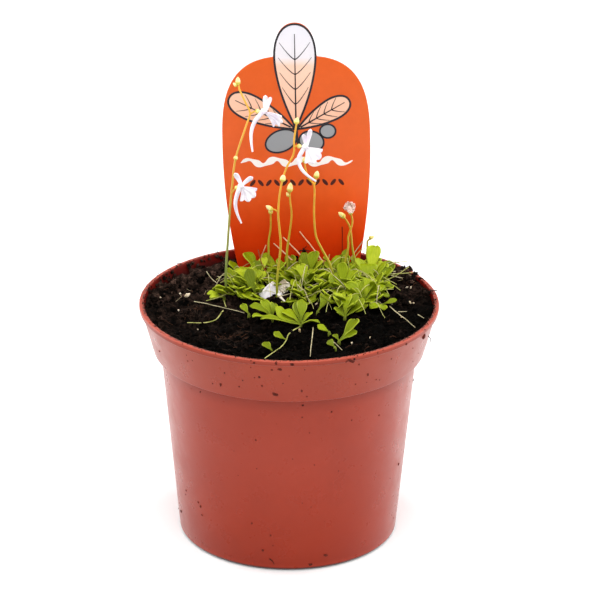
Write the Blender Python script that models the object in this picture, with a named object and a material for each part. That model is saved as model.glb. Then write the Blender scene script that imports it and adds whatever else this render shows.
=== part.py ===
"""A bladderwort in flower in a nursery pot, with its plant label.

Every length below is in millimetres, and MM turns it into metres where a mesh is made.
The origin is the middle of the pot's base, +Z is up and the front of the pot faces -Y.
"""

import math
import random

import bmesh
import bpy
import numpy as np

MM = 0.001
SEGMENTS = 40
CLEARANCE = 0.35

# Pot: a 9 cm thermoformed nursery pot with a rolled lip, a flared collar and a stepped body.
POT_HEIGHT = 73.8
RIM_RADIUS = 45.0
LIP_WIDTH = 1.5
LIP_HEIGHT = 1.5
COLLAR_TOP_RADIUS = 44.3
COLLAR_FOOT_RADIUS = 40.7
COLLAR_FOOT_Z = 59.1
BODY_TOP_RADIUS = 38.6
BODY_FOOT_RADIUS = 33.1
WALL = 1.0
INNER_STEP_Z = COLLAR_FOOT_Z + WALL
FOOT_HEIGHT = 1.2
FOOT_INNER_RADIUS = 29.5
FOOT_EDGE = 0.9
EDGE_BREAK = 0.4
FLOOR_TOP_Z = 2.4
DRAIN_COUNT = 4
DRAIN_RADIUS = 2.6
DRAIN_CIRCLE = 20.0

# Soil: how high it stands in the pot, with its lumps as (x, y, rise, reach).
SOIL_LEVEL = 70.7
SOIL_SLOPE_X = 0.03
SOIL_MOUNDS = (
    (2.0, 31.0, 1.2, 9.0),
    (29.0, 27.0, 1.3, 6.0),
    (-24.0, 24.0, -0.8, 9.0),
    (10.0, -34.0, 0.7, 10.0),
)
SOIL_WAVES = ((0.40, 0.47, 0.31, 0.0), (0.30, -0.38, 0.55, 1.3), (0.22, 0.83, -0.64, 2.1))
SOIL_RINGS = (0.2, 0.4, 0.58, 0.73, 0.87, 1.0)

# Label: a flat card on a pointed stake, stuck upright in the soil near the back of the pot.
LABEL_Y = 32.0
LABEL_THICKNESS = 0.8
LABEL_LEAN = math.radians(-1.3)
LABEL_PIVOT = (2.7, 72.0)
CARD_WIDEST_Z = 112.0
CARD_HALF_WIDTH = 22.5
CARD_TOP_Z = 140.5
CARD_ROUNDNESS = 3.0
CARD_TAPER = 0.00245
STAKE_SHOULDER_Z = (67.0, 52.0)
STAKE_HALF_WIDTH = (5.5, 4.5)
STAKE_POINT_Z = (36.0, 28.0)
CARD_ARC_STEP = 3

# The printed sprig's middle leaf stands over the card's top edge, cut out with it: a blunt oval,
# which spreads this many degrees to each side of upright at its foot.
SPRIG_FOOT_Z = 117.0
SPRIG_LEAF_LENGTH = 34.0
SPRIG_LEAF_SPREAD = 24.0
SPRIG_LEAF_FULLNESS = 2.2
SPRIG_LEAF_BLUNTNESS = 0.7

# Stems, blooms and leaves.
STEM_RADIUS = 0.4
STEM_ROOT = 8.0
STEM_SIDES = 5
STEM_TAPER = 0.25
SIDE_STEP = 1.5
THIN_RADIUS = 0.3
RUNNER_RADIUS = 0.35
BLADE = 0.6
PETAL = 0.6
CROWN_RADIUS = 1.0
CROWN_ROOT = 5.0
CROWN_HEIGHT = 1.3
CROWN_SIDES = 6
LEAF_SINK = 0.35
LEAF_CUP = 0.12
LEAF_OUTLINE = ((0.0, 0.25), (0.45, 0.30), (0.8, 1.0), (1.0, 0.62))
LEAF_TIP_ROUND = 0.07
NARROW_LEAF = 2.5
LEAF_GAP = 1.2
LEAF_LIFT = CLEARANCE + BLADE / 2 + 0.1
LEAF_SAMPLES = 12
TURN_STEP = 4
TURN_TRIES = 16
LIFT_TRIES = (0, 7, 14, -6)
HOLE_SIDES = 6
HOLE_OVERSHOOT = 4.0
SEED = 7


def clear_scene():
    for obj in list(bpy.data.objects):
        bpy.data.objects.remove(obj, do_unlink=True)


def finish(name, colour, roughness):
    """A plain plastic, soil or plant finish; the colour is linear RGB."""
    material = bpy.data.materials.new(name)
    material.use_nodes = True
    shader = material.node_tree.nodes["Principled BSDF"]
    shader.inputs["Base Color"].default_value = (*colour, 1.0)
    shader.inputs["Roughness"].default_value = roughness
    shader.inputs["Metallic"].default_value = 0.0
    material.diffuse_color = (*colour, 1.0)
    return material


# Mesh helpers: a solid is a list of points in millimetres and a list of faces.


def add_solid(name, solid, material, smooth_angle=40.0):
    points, faces = solid
    mesh = bpy.data.meshes.new(name)
    mesh.from_pydata([(x * MM, y * MM, z * MM) for x, y, z in points], [], faces)
    mesh.materials.append(material)
    mesh.shade_smooth()
    mesh.set_sharp_from_angle(angle=math.radians(smooth_angle))
    obj = bpy.data.objects.new(name, mesh)
    bpy.context.scene.collection.objects.link(obj)
    return obj


def boolean(obj, solids, operation):
    """Joins or cuts obj with every solid, by one Boolean on a collection, and applies it."""
    helpers = bpy.data.collections.new(obj.name + "_tools")
    bpy.context.scene.collection.children.link(helpers)
    for index, solid in enumerate(solids):
        tool = add_solid(f"{obj.name}_tool_{index}", solid, obj.data.materials[0])
        bpy.context.scene.collection.objects.unlink(tool)
        helpers.objects.link(tool)
    modifier = obj.modifiers.new("join", "BOOLEAN")
    modifier.operation = operation
    modifier.operand_type = "COLLECTION"
    modifier.collection = helpers
    modifier.solver = "EXACT"
    graph = bpy.context.evaluated_depsgraph_get()
    result = bpy.data.meshes.new_from_object(obj.evaluated_get(graph))
    obj.modifiers.clear()
    obj.data = result
    for tool in list(helpers.objects):
        bpy.data.objects.remove(tool, do_unlink=True)
    bpy.data.collections.remove(helpers)
    return obj


def keep_largest_body(mesh):
    """Drops loose scraps and the walls of sealed hollows, which a union can leave."""
    body = bmesh.new()
    body.from_mesh(mesh)
    unseen = set(body.verts)
    bodies = []
    while unseen:
        front = [unseen.pop()]
        found = set(front)
        while front:
            for edge in front.pop().link_edges:
                for vertex in edge.verts:
                    if vertex in unseen:
                        unseen.remove(vertex)
                        found.add(vertex)
                        front.append(vertex)
        bodies.append(found)
    largest = max(bodies, key=len)
    bmesh.ops.delete(body, geom=[v for v in body.verts if v not in largest], context="VERTS")
    body.to_mesh(mesh)
    body.free()


def fuse(name, solids, material):
    obj = boolean(add_solid(name, solids[0], material), solids[1:], "UNION")
    keep_largest_body(obj.data)
    return obj


def lathe(profile):
    """Turns a closed run of (radius, z) points round the pot's axis; radius 0 makes a pole."""
    points = []
    rows = []
    for radius, z in profile:
        if radius == 0.0:
            rows.append([len(points)] * SEGMENTS)
            points.append((0.0, 0.0, z))
            continue
        rows.append(list(range(len(points), len(points) + SEGMENTS)))
        for step in range(SEGMENTS):
            angle = math.tau * step / SEGMENTS
            points.append((radius * math.cos(angle), radius * math.sin(angle), z))
    faces = []
    for low, high in zip(rows, rows[1:]):
        for step in range(SEGMENTS):
            after = (step + 1) % SEGMENTS
            ring = [low[step], low[after], high[after], high[step]]
            faces.append(tuple(dict.fromkeys(ring)))
    return points, faces


def prism(x, y, radius, bottom, top, sides):
    points = []
    for z in (bottom, top):
        for step in range(sides):
            angle = math.tau * step / sides
            points.append((x + radius * math.cos(angle), y + radius * math.sin(angle), z))
    faces = [tuple(reversed(range(sides))), tuple(range(sides, 2 * sides))]
    for step in range(sides):
        after = (step + 1) % sides
        faces.append((step, after, after + sides, step + sides))
    return points, faces


def unit(vector):
    return vector / np.linalg.norm(vector)


def tube(path, radii, sides):
    """A round rod along a path, with one radius at each point and flat ends."""
    path = [np.array(point, float) for point in path]
    count = len(path)
    side = None
    points = []
    for index, centre in enumerate(path):
        ahead = unit(path[min(index + 1, count - 1)] - path[max(index - 1, 0)])
        if side is None:
            side = np.cross(ahead, (0.0, 1.0, 0.0) if abs(ahead[1]) < 0.9 else (1.0, 0.0, 0.0))
        side = unit(side - ahead * np.dot(side, ahead))
        other = np.cross(ahead, side)
        for step in range(sides):
            angle = math.tau * step / sides
            offset = side * math.cos(angle) + other * math.sin(angle)
            points.append(tuple(centre + offset * radii[index]))
    faces = [tuple(reversed(range(sides))), tuple(range((count - 1) * sides, count * sides))]
    for ring in range(count - 1):
        for step in range(sides):
            after = (step + 1) % sides
            low = ring * sides
            high = low + sides
            faces.append((low + step, low + after, high + after, high + step))
    return points, faces


def smooth_path(points, step=5.5):
    """Reads a Catmull-Rom curve through the points, about every `step` millimetres."""
    points = [np.array(point, float) for point in points]
    ends = [2 * points[0] - points[1], *points, 2 * points[-1] - points[-2]]
    path = []
    for a, b, c, d in zip(ends, ends[1:], ends[2:], ends[3:]):
        count = max(1, round(float(np.linalg.norm(c - b)) / step))
        for index in range(count):
            t = index / count
            linear = (c - a) * t
            square = (2 * a - 5 * b + 4 * c - d) * t**2
            cubic = (3 * b - a - 3 * c + d) * t**3
            path.append(0.5 * (2 * b + linear + square + cubic))
    path.append(points[-1])
    return path


def bud(centre, direction, length, radius, sides=6):
    """A closed flower bud or seed capsule: an egg drawn out along its direction."""
    centre = np.array(centre, float)
    ahead = unit(np.array(direction, float))
    shape = ((-0.5, 0.35), (-0.25, 0.85), (0.1, 1.0), (0.36, 0.62), (0.5, 0.2))
    return tube([centre + ahead * length * t for t, _ in shape], [radius * r for _, r in shape], sides)


def sheet(rows, thickness):
    """Gives a grid of points a thickness, with both faces split along the same diagonals."""
    grid = np.array(rows, float)
    down = np.gradient(grid, axis=0)
    across = np.gradient(grid, axis=1)
    normals = np.cross(down, across)
    normals /= np.linalg.norm(normals, axis=2, keepdims=True)
    count, width = grid.shape[:2]
    upper = (grid + normals * thickness / 2).reshape(-1, 3)
    lower = (grid - normals * thickness / 2).reshape(-1, 3)
    points = [tuple(point) for point in np.concatenate([upper, lower])]
    under = count * width
    faces = []
    for row in range(count - 1):
        for column in range(width - 1):
            a = row * width + column
            b, c, d = a + 1, a + width + 1, a + width
            left_half = column < (width - 1) / 2
            for p, q, r in ((a, d, c), (a, c, b)) if left_half else ((a, d, b), (d, c, b)):
                faces += [(p, q, r), (p + under, r + under, q + under)]
    edge = list(range(width))
    edge += [row * width + width - 1 for row in range(1, count)]
    edge += [(count - 1) * width + column for column in range(width - 2, -1, -1)]
    edge += [row * width for row in range(count - 2, 0, -1)]
    for a, b in zip(edge, edge[1:] + edge[:1]):
        faces += [(a, b, b + under), (a, b + under, a + under)]
    return points, faces


# Soil surface, which the leaves and straws follow.


def soil_z(x, y):
    z = SOIL_LEVEL + SOIL_SLOPE_X * x
    for mound_x, mound_y, rise, reach in SOIL_MOUNDS:
        z += rise * math.exp(-((x - mound_x) ** 2 + (y - mound_y) ** 2) / (2 * reach**2))
    for height, along_x, along_y, phase in SOIL_WAVES:
        z += height * math.sin(along_x * x + along_y * y + phase)
    return z


def inner_radius(z):
    """The inside of the pot's wall at a height."""
    if z >= INNER_STEP_Z:
        share = (z - COLLAR_FOOT_Z) / (POT_HEIGHT - LIP_HEIGHT - COLLAR_FOOT_Z)
        return COLLAR_FOOT_RADIUS - WALL + (COLLAR_TOP_RADIUS - COLLAR_FOOT_RADIUS) * share
    share = (z - FLOOR_TOP_Z) / (INNER_STEP_Z - FLOOR_TOP_Z)
    return BODY_FOOT_RADIUS - WALL + (BODY_TOP_RADIUS - BODY_FOOT_RADIUS) * share


# Pot.


def make_pot():
    lip_inner = RIM_RADIUS - LIP_WIDTH
    lip_foot = POT_HEIGHT - LIP_HEIGHT
    profile = [
        (0.0, FOOT_HEIGHT),
        (FOOT_INNER_RADIUS - EDGE_BREAK, FOOT_HEIGHT),
        (FOOT_INNER_RADIUS, 0.0),
        (BODY_FOOT_RADIUS - FOOT_EDGE, 0.0),
        (BODY_FOOT_RADIUS, FOOT_EDGE),
        (BODY_TOP_RADIUS, COLLAR_FOOT_Z),
        (COLLAR_FOOT_RADIUS - EDGE_BREAK, COLLAR_FOOT_Z),
        (COLLAR_FOOT_RADIUS, COLLAR_FOOT_Z + EDGE_BREAK),
        (COLLAR_TOP_RADIUS, lip_foot),
        (RIM_RADIUS, lip_foot),
        (RIM_RADIUS, POT_HEIGHT - EDGE_BREAK),
        (RIM_RADIUS - EDGE_BREAK, POT_HEIGHT),
        (lip_inner + EDGE_BREAK, POT_HEIGHT),
        (lip_inner, POT_HEIGHT - EDGE_BREAK),
        (COLLAR_TOP_RADIUS - WALL, lip_foot),
        (inner_radius(INNER_STEP_Z), INNER_STEP_Z),
        (BODY_TOP_RADIUS - WALL, INNER_STEP_Z),
        (BODY_FOOT_RADIUS - WALL, FLOOR_TOP_Z),
        (0.0, FLOOR_TOP_Z),
    ]
    plastic = finish("pot_plastic", (0.42, 0.065, 0.035), 0.35)
    pot = add_solid("pot", lathe(profile), plastic)
    drains = []
    for index in range(DRAIN_COUNT):
        angle = math.tau * (index + 0.5) / DRAIN_COUNT
        x, y = DRAIN_CIRCLE * math.cos(angle), DRAIN_CIRCLE * math.sin(angle)
        drains.append(prism(x, y, DRAIN_RADIUS, -1.0, FLOOR_TOP_Z + 1.0, HOLE_SIDES))
    boolean(pot, drains, "DIFFERENCE")


# Label outline, which the stake's slot in the soil follows too.


def card_half_width(z):
    if z >= CARD_WIDEST_Z:
        share = min(1.0, (z - CARD_WIDEST_Z) / (CARD_TOP_Z - CARD_WIDEST_Z))
        return CARD_HALF_WIDTH * (1 - share**CARD_ROUNDNESS) ** (1 / CARD_ROUNDNESS)
    shoulder, stake_top = STAKE_SHOULDER_Z
    if z >= shoulder:
        return CARD_HALF_WIDTH - CARD_TAPER * (CARD_WIDEST_Z - z) ** 2
    wide, narrow = STAKE_HALF_WIDTH
    if z >= stake_top:
        share = (z - stake_top) / (shoulder - stake_top)
        return wide + (card_half_width(shoulder) - wide) * share**1.5
    point, tip = STAKE_POINT_Z
    if z >= point:
        return narrow + (wide - narrow) * (z - point) / (stake_top - point)
    return max(0.4, narrow * (z - tip) / (point - tip))


def sprig_radius(angle):
    """How far the sprig's middle leaf reaches from its foot at an angle in degrees."""
    off = min(1.0, abs(angle - 90.0) / SPRIG_LEAF_SPREAD)
    return SPRIG_LEAF_LENGTH * (1.0 - off**SPRIG_LEAF_FULLNESS) ** SPRIG_LEAF_BLUNTNESS


def card_radius(angle):
    """The card's edge from the sprig's foot at an angle in degrees."""
    low, high = 0.0, 60.0
    for _ in range(30):
        middle = (low + high) / 2
        x = middle * math.cos(math.radians(angle))
        z = SPRIG_FOOT_Z + middle * math.sin(math.radians(angle))
        inside = z < CARD_TOP_Z and abs(x) < card_half_width(z)
        low, high = (middle, high) if inside else (low, middle)
    return low


def label_outline():
    """The card's edge as (x, z) about its own centre line, anticlockwise from the stake's point."""
    shoulder, stake_top = STAKE_SHOULDER_Z
    point, tip = STAKE_POINT_Z
    heights = [tip, point, stake_top, 56.0, 61.0, shoulder, 80.0, 92.0, 104.0, 112.0]
    right = [(card_half_width(z), z) for z in heights]
    top = []
    for angle in range(0, 181, CARD_ARC_STEP):
        radius = max(card_radius(angle), sprig_radius(angle))
        turn = math.radians(angle)
        top.append((radius * math.cos(turn), SPRIG_FOOT_Z + radius * math.sin(turn)))
    left = [(-x, z) for x, z in reversed(right)]
    return right + top + left


def label_place(x, z):
    """Turns a point on the card about its pivot, by the card's slight lean."""
    pivot_x, pivot_z = LABEL_PIVOT
    away = z - pivot_z
    cos_lean, sin_lean = math.cos(LABEL_LEAN), math.sin(LABEL_LEAN)
    return pivot_x + x * cos_lean + away * sin_lean, pivot_z - x * sin_lean + away * cos_lean


def plate(outline, y, thickness):
    count = len(outline)
    points = [(x, y - thickness / 2, z) for x, z in outline]
    points += [(x, y + thickness / 2, z) for x, z in outline]
    faces = [tuple(range(count)), tuple(reversed(range(count, 2 * count)))]
    for index in range(count):
        after = (index + 1) % count
        faces.append((after, index, index + count, after + count))
    return points, faces


def make_label():
    orange = finish("label_plastic", (0.78, 0.11, 0.03), 0.3)
    outline = [label_place(x, z) for x, z in label_outline()]
    add_solid("label", plate(outline, LABEL_Y, LABEL_THICKNESS), orange)


def label_slot():
    """The stake's slot: the buried part of the card, let out by the clearance all round."""
    shoulder, stake_top = STAKE_SHOULDER_Z
    point, tip = STAKE_POINT_Z
    heights = [tip - 2 * CLEARANCE, point, stake_top, 56.0, 61.0, shoulder, 80.0]
    right = [(card_half_width(z) + 1.5 * CLEARANCE, z) for z in heights]
    outline = right + [(-x, z) for x, z in reversed(right)]
    placed = [label_place(x, z) for x, z in outline]
    return plate(placed, LABEL_Y, LABEL_THICKNESS + 2 * CLEARANCE)


# Flowering stems: the path of each, and its closed buds as (centre, direction, length, radius).

STEMS = {
    "stem_left": {
        "path": (
            (-19.3, 16.0, 77), (-18.7, 16.3, 87), (-18.0, 16.5, 98), (-17.4, 16.6, 104.5),
            (-16.4, 16.8, 113), (-13.4, 17.0, 123), (-12.1, 17.1, 127.4), (-13.3, 17.1, 130.5),
            (-15.3, 17.3, 135), (-15.6, 17.4, 136.6),
        ),
        "side": (
            ((-17.7, 16.5, 101.8), (-16.8, 15.7, 103.4), (-15.9, 15.0, 104.4)),
            ((-12.3, 17.1, 127.1), (-10.8, 16.6, 128.2), (-9.7, 16.1, 128.5)),
        ),
        "buds": (
            ((-15.7, 17.4, 137.6), (0, 0, 1), 2.6, 0.75),
            ((-16.6, 17.4, 136.4), (-1, 0, 1), 1.6, 0.5),
            ((-15.9, 15.0, 104.4), (1, -1, 1), 1.5, 0.7),
            ((-9.7, 16.1, 128.5), (1, -0.4, 0.2), 1.5, 0.7),
            ((-16.3, 16.8, 113.4), (0.3, 0, 1), 1.5, 0.65),
        ),
    },
    "stem_middle": {
        "path": (
            (-3.7, 9.7, 77), (-2.7, 10.5, 87), (-3.0, 11.0, 92), (-3.5, 11.5, 98),
            (-2.8, 12.2, 105.5), (-1.2, 12.9, 111.4), (0.9, 13.5, 115.5), (1.2, 14.0, 118),
            (1.1, 14.3, 120), (1.8, 14.9, 125),
        ),
        "side": (
            ((-3.4, 11.5, 98), (-4.6, 11.7, 98.7), (-5.7, 12.0, 98.8)),
            ((1.1, 14.0, 118), (2.1, 13.6, 118.5), (2.8, 13.3, 118.5)),
        ),
        "buds": (
            ((1.9, 15.0, 126.0), (0.2, 0, 1), 2.2, 0.8),
            ((-6.2, 12.0, 99.1), (-1, 0, 0.8), 2.6, 0.75),
            ((-2.1, 12.6, 108.6), (0.2, 0, 1), 2.4, 0.85),
            ((2.8, 13.3, 118.5), (1, -0.4, 0), 1.5, 0.7),
        ),
    },
    "stem_back_middle": {
        "path": (
            (-0.8, 23.0, 77), (-0.8, 23.1, 81), (0.0, 23.3, 87), (0.5, 23.5, 92.5),
            (0.0, 23.6, 97.2), (-0.1, 23.8, 100.4),
        ),
        "side": (),
        "buds": (
            ((0.0, 23.9, 101.2), (0.1, 0, 1), 3.2, 0.9),
            ((-0.7, 23.9, 98.9), (-0.6, 0, 1), 1.6, 0.55),
        ),
    },
    "stem_right": {
        "path": (
            (13.4, 17.0, 74.5), (12.2, 17.2, 79), (9.6, 17.5, 84), (7.9, 17.8, 88),
            (7.3, 18.2, 95), (7.4, 18.6, 102.4), (6.9, 18.9, 104.6), (5.5, 19.1, 106.0),
            (4.6, 19.4, 109), (4.4, 19.7, 110.9),
        ),
        "side": (
            ((7.2, 18.7, 103.6), (7.6, 19.2, 104.9), (7.9, 19.7, 105.9)),
        ),
        "buds": (
            ((4.4, 19.8, 111.7), (0, 0, 1), 2.0, 0.75),
            ((8.0, 20.0, 106.9), (0.2, 0.2, 1), 2.4, 0.85),
        ),
    },
    "stem_far_right": {
        "path": (
            (19.9, 26.0, 76.5), (19.1, 26.0, 81), (18.6, 26.0, 86), (17.9, 26.0, 88.5),
            (16.6, 26.0, 90.6),
        ),
        "side": (),
        "buds": (
            ((15.7, 26.0, 91.5), (-1, 0, 0.9), 2.7, 0.8),
        ),
    },
    "stem_withered": {
        "path": (
            (16.8, 23.0, 76.5), (17.8, 23.0, 82), (17.8, 23.0, 85.5), (18.8, 23.0, 89),
            (19.0, 23.0, 91), (18.5, 23.0, 93.2),
        ),
        "side": (),
        "buds": (
            ((18.4, 23.0, 93.5), (-0.3, 0, 1), 1.3, 0.7),
        ),
    },
    "stem_far_left": {
        "path": (
            (-6.4, 28.0, 76), (-6.5, 28.0, 81.5), (-5.9, 28.0, 86), (-5.9, 28.0, 91),
        ),
        "side": (),
        "buds": (
            ((-5.9, 28.0, 91.9), (0, 0, 1), 2.2, 0.7),
        ),
    },
    "stem_sprout": {
        "path": (
            (24.0, 30.6, 76), (23.8, 30.6, 79.5), (23.8, 30.6, 81.0), (24.7, 30.6, 82.0),
        ),
        "side": (),
        "buds": (
            ((25.1, 30.6, 82.3), (1, 0, 0.4), 1.8, 0.6),
        ),
    },
}

# Dry stalks of last season, which stand in the soil and lean on the label: foot and upper end.
DRY_STALKS = {
    "dry_stalk_a": ((8.6, 25.0), (-2.1, 30.6, 82.2)),
    "dry_stalk_b": ((3.4, 27.6), (-5.0, 30.8, 80.0)),
    "dry_stalk_c": ((12.0, 26.6), (3.0, 30.7, 84.0)),
}
DRY_STALK_ROOT = 4.0
DRY_STALK_BOW = 0.8
DRY_STALK_STEP = 3.0

# Straws and bare runners that lie on the soil, as (x, y) points.
STRAWS = {
    "straw_front": ((7.2, -15.0), (6.9, -24.0), (6.3, -37.5)),
    "straw_right": ((30.2, -1.0), (33.5, -8.5), (37.4, -16.5)),
    "straw_back_right": ((30.4, 22.6), (34.0, 23.2), (37.2, 21.6)),
    "straw_left": ((-28.7, 5.4), (-21.0, 2.4), (-13.4, -2.4)),
    "straw_left_back": ((-25.6, 29.6), (-24.0, 24.5), (-22.0, 20.4)),
}
GREEN_RUNNERS = {
    "runner_left": ((-19.8, -1.4), (-21.9, -7.4), (-25.6, -9.8), (-30.3, -10.5)),
}
GROUND_STEP = 2.5
GROUND_REACH = 0.8


def stem_path(spec):
    """A stem's whole path, with its root straight down in the soil."""
    x, y, _ = spec["path"][0]
    ground = soil_z(x, y)
    return smooth_path(((x, y, ground - STEM_ROOT), (x, y, ground + 0.5), *spec["path"]))


def thin_rod(path, radius):
    return tube(path, [radius] * len(path), STEM_SIDES)


def stem_solids(spec):
    path = stem_path(spec)
    count = len(path)
    radii = [STEM_RADIUS * (1.0 - STEM_TAPER * index / (count - 1)) for index in range(count)]
    solids = [tube(path, radii, STEM_SIDES)]
    for side in spec["side"]:
        solids.append(thin_rod(smooth_path(side, SIDE_STEP), THIN_RADIUS))
    for centre, direction, length, radius in spec["buds"]:
        solids.append(bud(centre, direction, length, radius))
    return solids


def dry_stalk_path(foot, top):
    x, y = foot
    ground = soil_z(x, y)
    bend = (0.5 * (x + top[0]), 0.5 * (y + top[1]), 0.5 * (ground + top[2]) + DRY_STALK_BOW)
    points = ((x, y, ground - DRY_STALK_ROOT), (x, y, ground + 0.6), bend, top)
    return smooth_path(points, DRY_STALK_STEP)


def ground_path(points, lift):
    """A path over the soil, which keeps its height above the lumps."""
    path = []
    around = (-GROUND_REACH, 0.0, GROUND_REACH)
    for x, y, _ in smooth_path([(x, y, 0.0) for x, y in points], GROUND_STEP):
        nearby = [soil_z(x + dx, y + dy) for dx in around for dy in around]
        path.append((x, y, max(nearby) + lift))
    return path


def make_stems():
    green = finish("stem_green", (0.42, 0.36, 0.06), 0.5)
    dry = finish("dry_straw", (0.50, 0.38, 0.22), 0.7)
    for name, spec in STEMS.items():
        fuse(name, stem_solids(spec), green)
    for name, (foot, top) in DRY_STALKS.items():
        add_solid(name, thin_rod(dry_stalk_path(foot, top), THIN_RADIUS), dry)
    for name, points in STRAWS.items():
        add_solid(name, thin_rod(ground_path(points, CLEARANCE + THIN_RADIUS), THIN_RADIUS), dry)
    for name, points in GREEN_RUNNERS.items():
        path = ground_path(points, CLEARANCE + RUNNER_RADIUS)
        add_solid(name, thin_rod(path, RUNNER_RADIUS), green)


# Blooms: a throat with two long ears above it as (foot, tip, width), a scalloped lip below it as
# (direction, side, reach, half angle), and a tapering spur.

BLOOMS = {
    "bloom_left_high": {
        "throat": (-8.0, 15.4, 128.7),
        "ears": (
            ((-7.2, 15.0, 129.2), (-7.5, 14.8, 134.0), 1.5),
            ((-6.6, 15.4, 129.0), (-5.9, 16.6, 132.8), 1.3),
        ),
        "lip": ((0.80, -0.25, -0.62), (0.45, -0.60, 0.65), 6.4, 34.0),
        "spur": (
            (-8.6, 15.3, 128.2), (-10.6, 15.0, 125.6), (-11.6, 15.0, 122.6), (-11.7, 15.0, 119.4),
            (-11.3, 15.0, 116.0),
        ),
    },
    "bloom_left_low": {
        "throat": (-14.7, 13.9, 105.4),
        "ears": (
            ((-14.4, 13.7, 106.0), (-16.6, 13.6, 109.6), 1.6),
            ((-14.0, 13.7, 106.0), (-11.2, 13.6, 108.4), 1.5),
        ),
        "lip": ((0.62, -0.25, -0.76), (0.80, -0.10, 0.56), 5.2, 46.0),
        "spur": (
            (-15.0, 13.8, 104.9), (-15.9, 13.6, 102.6), (-16.4, 13.5, 99.6), (-15.8, 13.6, 96.4),
            (-14.6, 13.8, 93.4),
        ),
    },
    "bloom_right": {
        "throat": (4.5, 12.9, 118.5),
        "ears": (
            ((5.3, 12.8, 119.0), (6.1, 12.6, 124.2), 1.5),
            ((4.8, 12.9, 119.2), (3.9, 12.8, 122.4), 1.4),
        ),
        "lip": ((0.62, -0.30, -0.74), (0.80, -0.15, 0.54), 5.6, 46.0),
        "spur": (
            (4.0, 13.0, 117.9), (2.5, 13.0, 114.6), (3.2, 13.2, 111.6), (5.1, 13.4, 109.2),
            (7.8, 13.5, 107.2),
        ),
    },
}
LIP_SCALLOPS = 3
LIP_OFFSET = (0.2, -0.2, -0.1)
THROAT_AHEAD = (1.0, -0.6, 0.2)
THROAT_LENGTH = 2.2
THROAT_RADIUS = 1.05
SPUR_RADIUS = 0.75
SPUR_TAPER = 0.45
SPUR_STEP = 2.2
FAN_SHARES = (0.12, 0.6, 1.0)
EAR_OUTLINE = ((0.0, 0.55), (0.4, 0.8), (0.75, 1.0), (1.0, 0.45))
EAR_BOW = 0.8
EAR_FOLD = 0.15

# The withered flower on its stalk, and the middle of the one that fell on the soil.
WITHERED_AT = (18.1, 22.9, 95.3)
WITHERED_HEADINGS = (20, 110, 200, 290)
FALLEN_AT = (-5.4, 13.7)
FALLEN_HEIGHT = 4.2


def fan(foot, along, across, reach, half_angle, scallops, columns=7, dish=0.7):
    """A fan-shaped petal: rows run out from its foot, and its outer edge is scalloped."""
    foot = np.array(foot, float)
    along = unit(np.array(along, float))
    across = np.array(across, float)
    across = unit(across - along * np.dot(along, across))
    face = np.cross(across, along)
    rows = []
    for share in FAN_SHARES:
        row = []
        for column in range(columns):
            turn = -1.0 + 2.0 * column / (columns - 1)
            angle = math.radians(half_angle) * turn
            wave = abs(math.cos(math.pi * scallops * (turn + 1) / 2))
            radius = reach * share * (1.0 - 0.10 * (1 - wave) * share - 0.12 * turn**2)
            bow = dish * math.sin(share * 2.2) + 0.25 * share * math.sin(3.0 * math.pi * turn)
            spread = along * math.cos(angle) + across * math.sin(angle)
            row.append(foot + spread * radius + face * bow)
        rows.append(row)
    return sheet(rows, PETAL)


def ear(foot, tip, width):
    """A long upper petal, narrow at its foot and rounded at its tip."""
    foot, tip = np.array(foot, float), np.array(tip, float)
    ahead = tip - foot
    back = np.array((0.0, 1.0, 0.0))
    across = unit(np.cross(ahead, back))
    rows = []
    for share, wide in EAR_OUTLINE:
        centre = foot + ahead * share + back * EAR_BOW * math.sin(math.pi * share)
        half = across * width * wide / 2
        rows.append([centre - half, centre - back * EAR_FOLD, centre + half])
    return sheet(rows, PETAL)


def bloom_solids(spec):
    throat = np.array(spec["throat"], float)
    solids = [bud(throat, THROAT_AHEAD, THROAT_LENGTH, THROAT_RADIUS)]
    solids.append(fan(throat + LIP_OFFSET, *spec["lip"], LIP_SCALLOPS))
    for foot, tip, width in spec["ears"]:
        solids.append(ear((throat + foot) / 2, tip, width))
    path = smooth_path(spec["spur"], SPUR_STEP)
    count = len(path)
    radii = [SPUR_RADIUS - SPUR_TAPER * (index / (count - 1)) ** 1.5 for index in range(count)]
    solids.append(tube(path, radii, STEM_SIDES))
    return solids


def make_withered(faded):
    """A small shrunken flower: four frills round a closed bud."""
    middle = np.array(WITHERED_AT)
    solids = [bud(middle - (0.0, 0.0, 0.1), (-0.3, 0, 1), 1.8, 0.8)]
    for heading in WITHERED_HEADINGS:
        cos_turn, sin_turn = math.cos(math.radians(heading)), math.sin(math.radians(heading))
        along = (cos_turn, -0.5, sin_turn + 0.4)
        across = (-sin_turn, 0.2, cos_turn)
        solids.append(fan(middle, along, across, 2.0, 42.0, 2, columns=3, dish=0.2))
    fuse("bloom_withered", solids, faded)


def make_fallen(white):
    """A flower that dropped and stands crumpled on the soil: two petals from one throat."""
    x, y = FALLEN_AT
    middle = np.array((x, y, soil_z(*FALLEN_AT) + FALLEN_HEIGHT))
    front = fan(middle + (-0.2, -0.1, 0.4), (-0.15, -0.35, -0.9), (1.0, 0.1, -0.1), 4.4, 36.0, 3, dish=0.5)
    side = fan(middle + (0.2, 0.0, 0.0), (0.85, 0.25, -0.55), (-0.4, 0.5, -0.7), 3.6, 38.0, 3, 5, 0.4)
    throat = bud(middle, (0.4, 0.2, 0.8), THROAT_LENGTH, 0.8)
    fuse("bloom_fallen", [front, side, throat], white)


def make_blooms():
    white = finish("petal_white", (0.80, 0.76, 0.80), 0.5)
    faded = finish("petal_faded", (0.70, 0.52, 0.50), 0.6)
    for name, spec in BLOOMS.items():
        fuse(name, bloom_solids(spec), white)
    make_withered(faded)
    make_fallen(white)


# Leaves: each tuft has a crown rooted in the soil, and its leaves as (heading, length, width, rise).
# A heading of 0 points to +X and 90 to the back of the pot.

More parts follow.
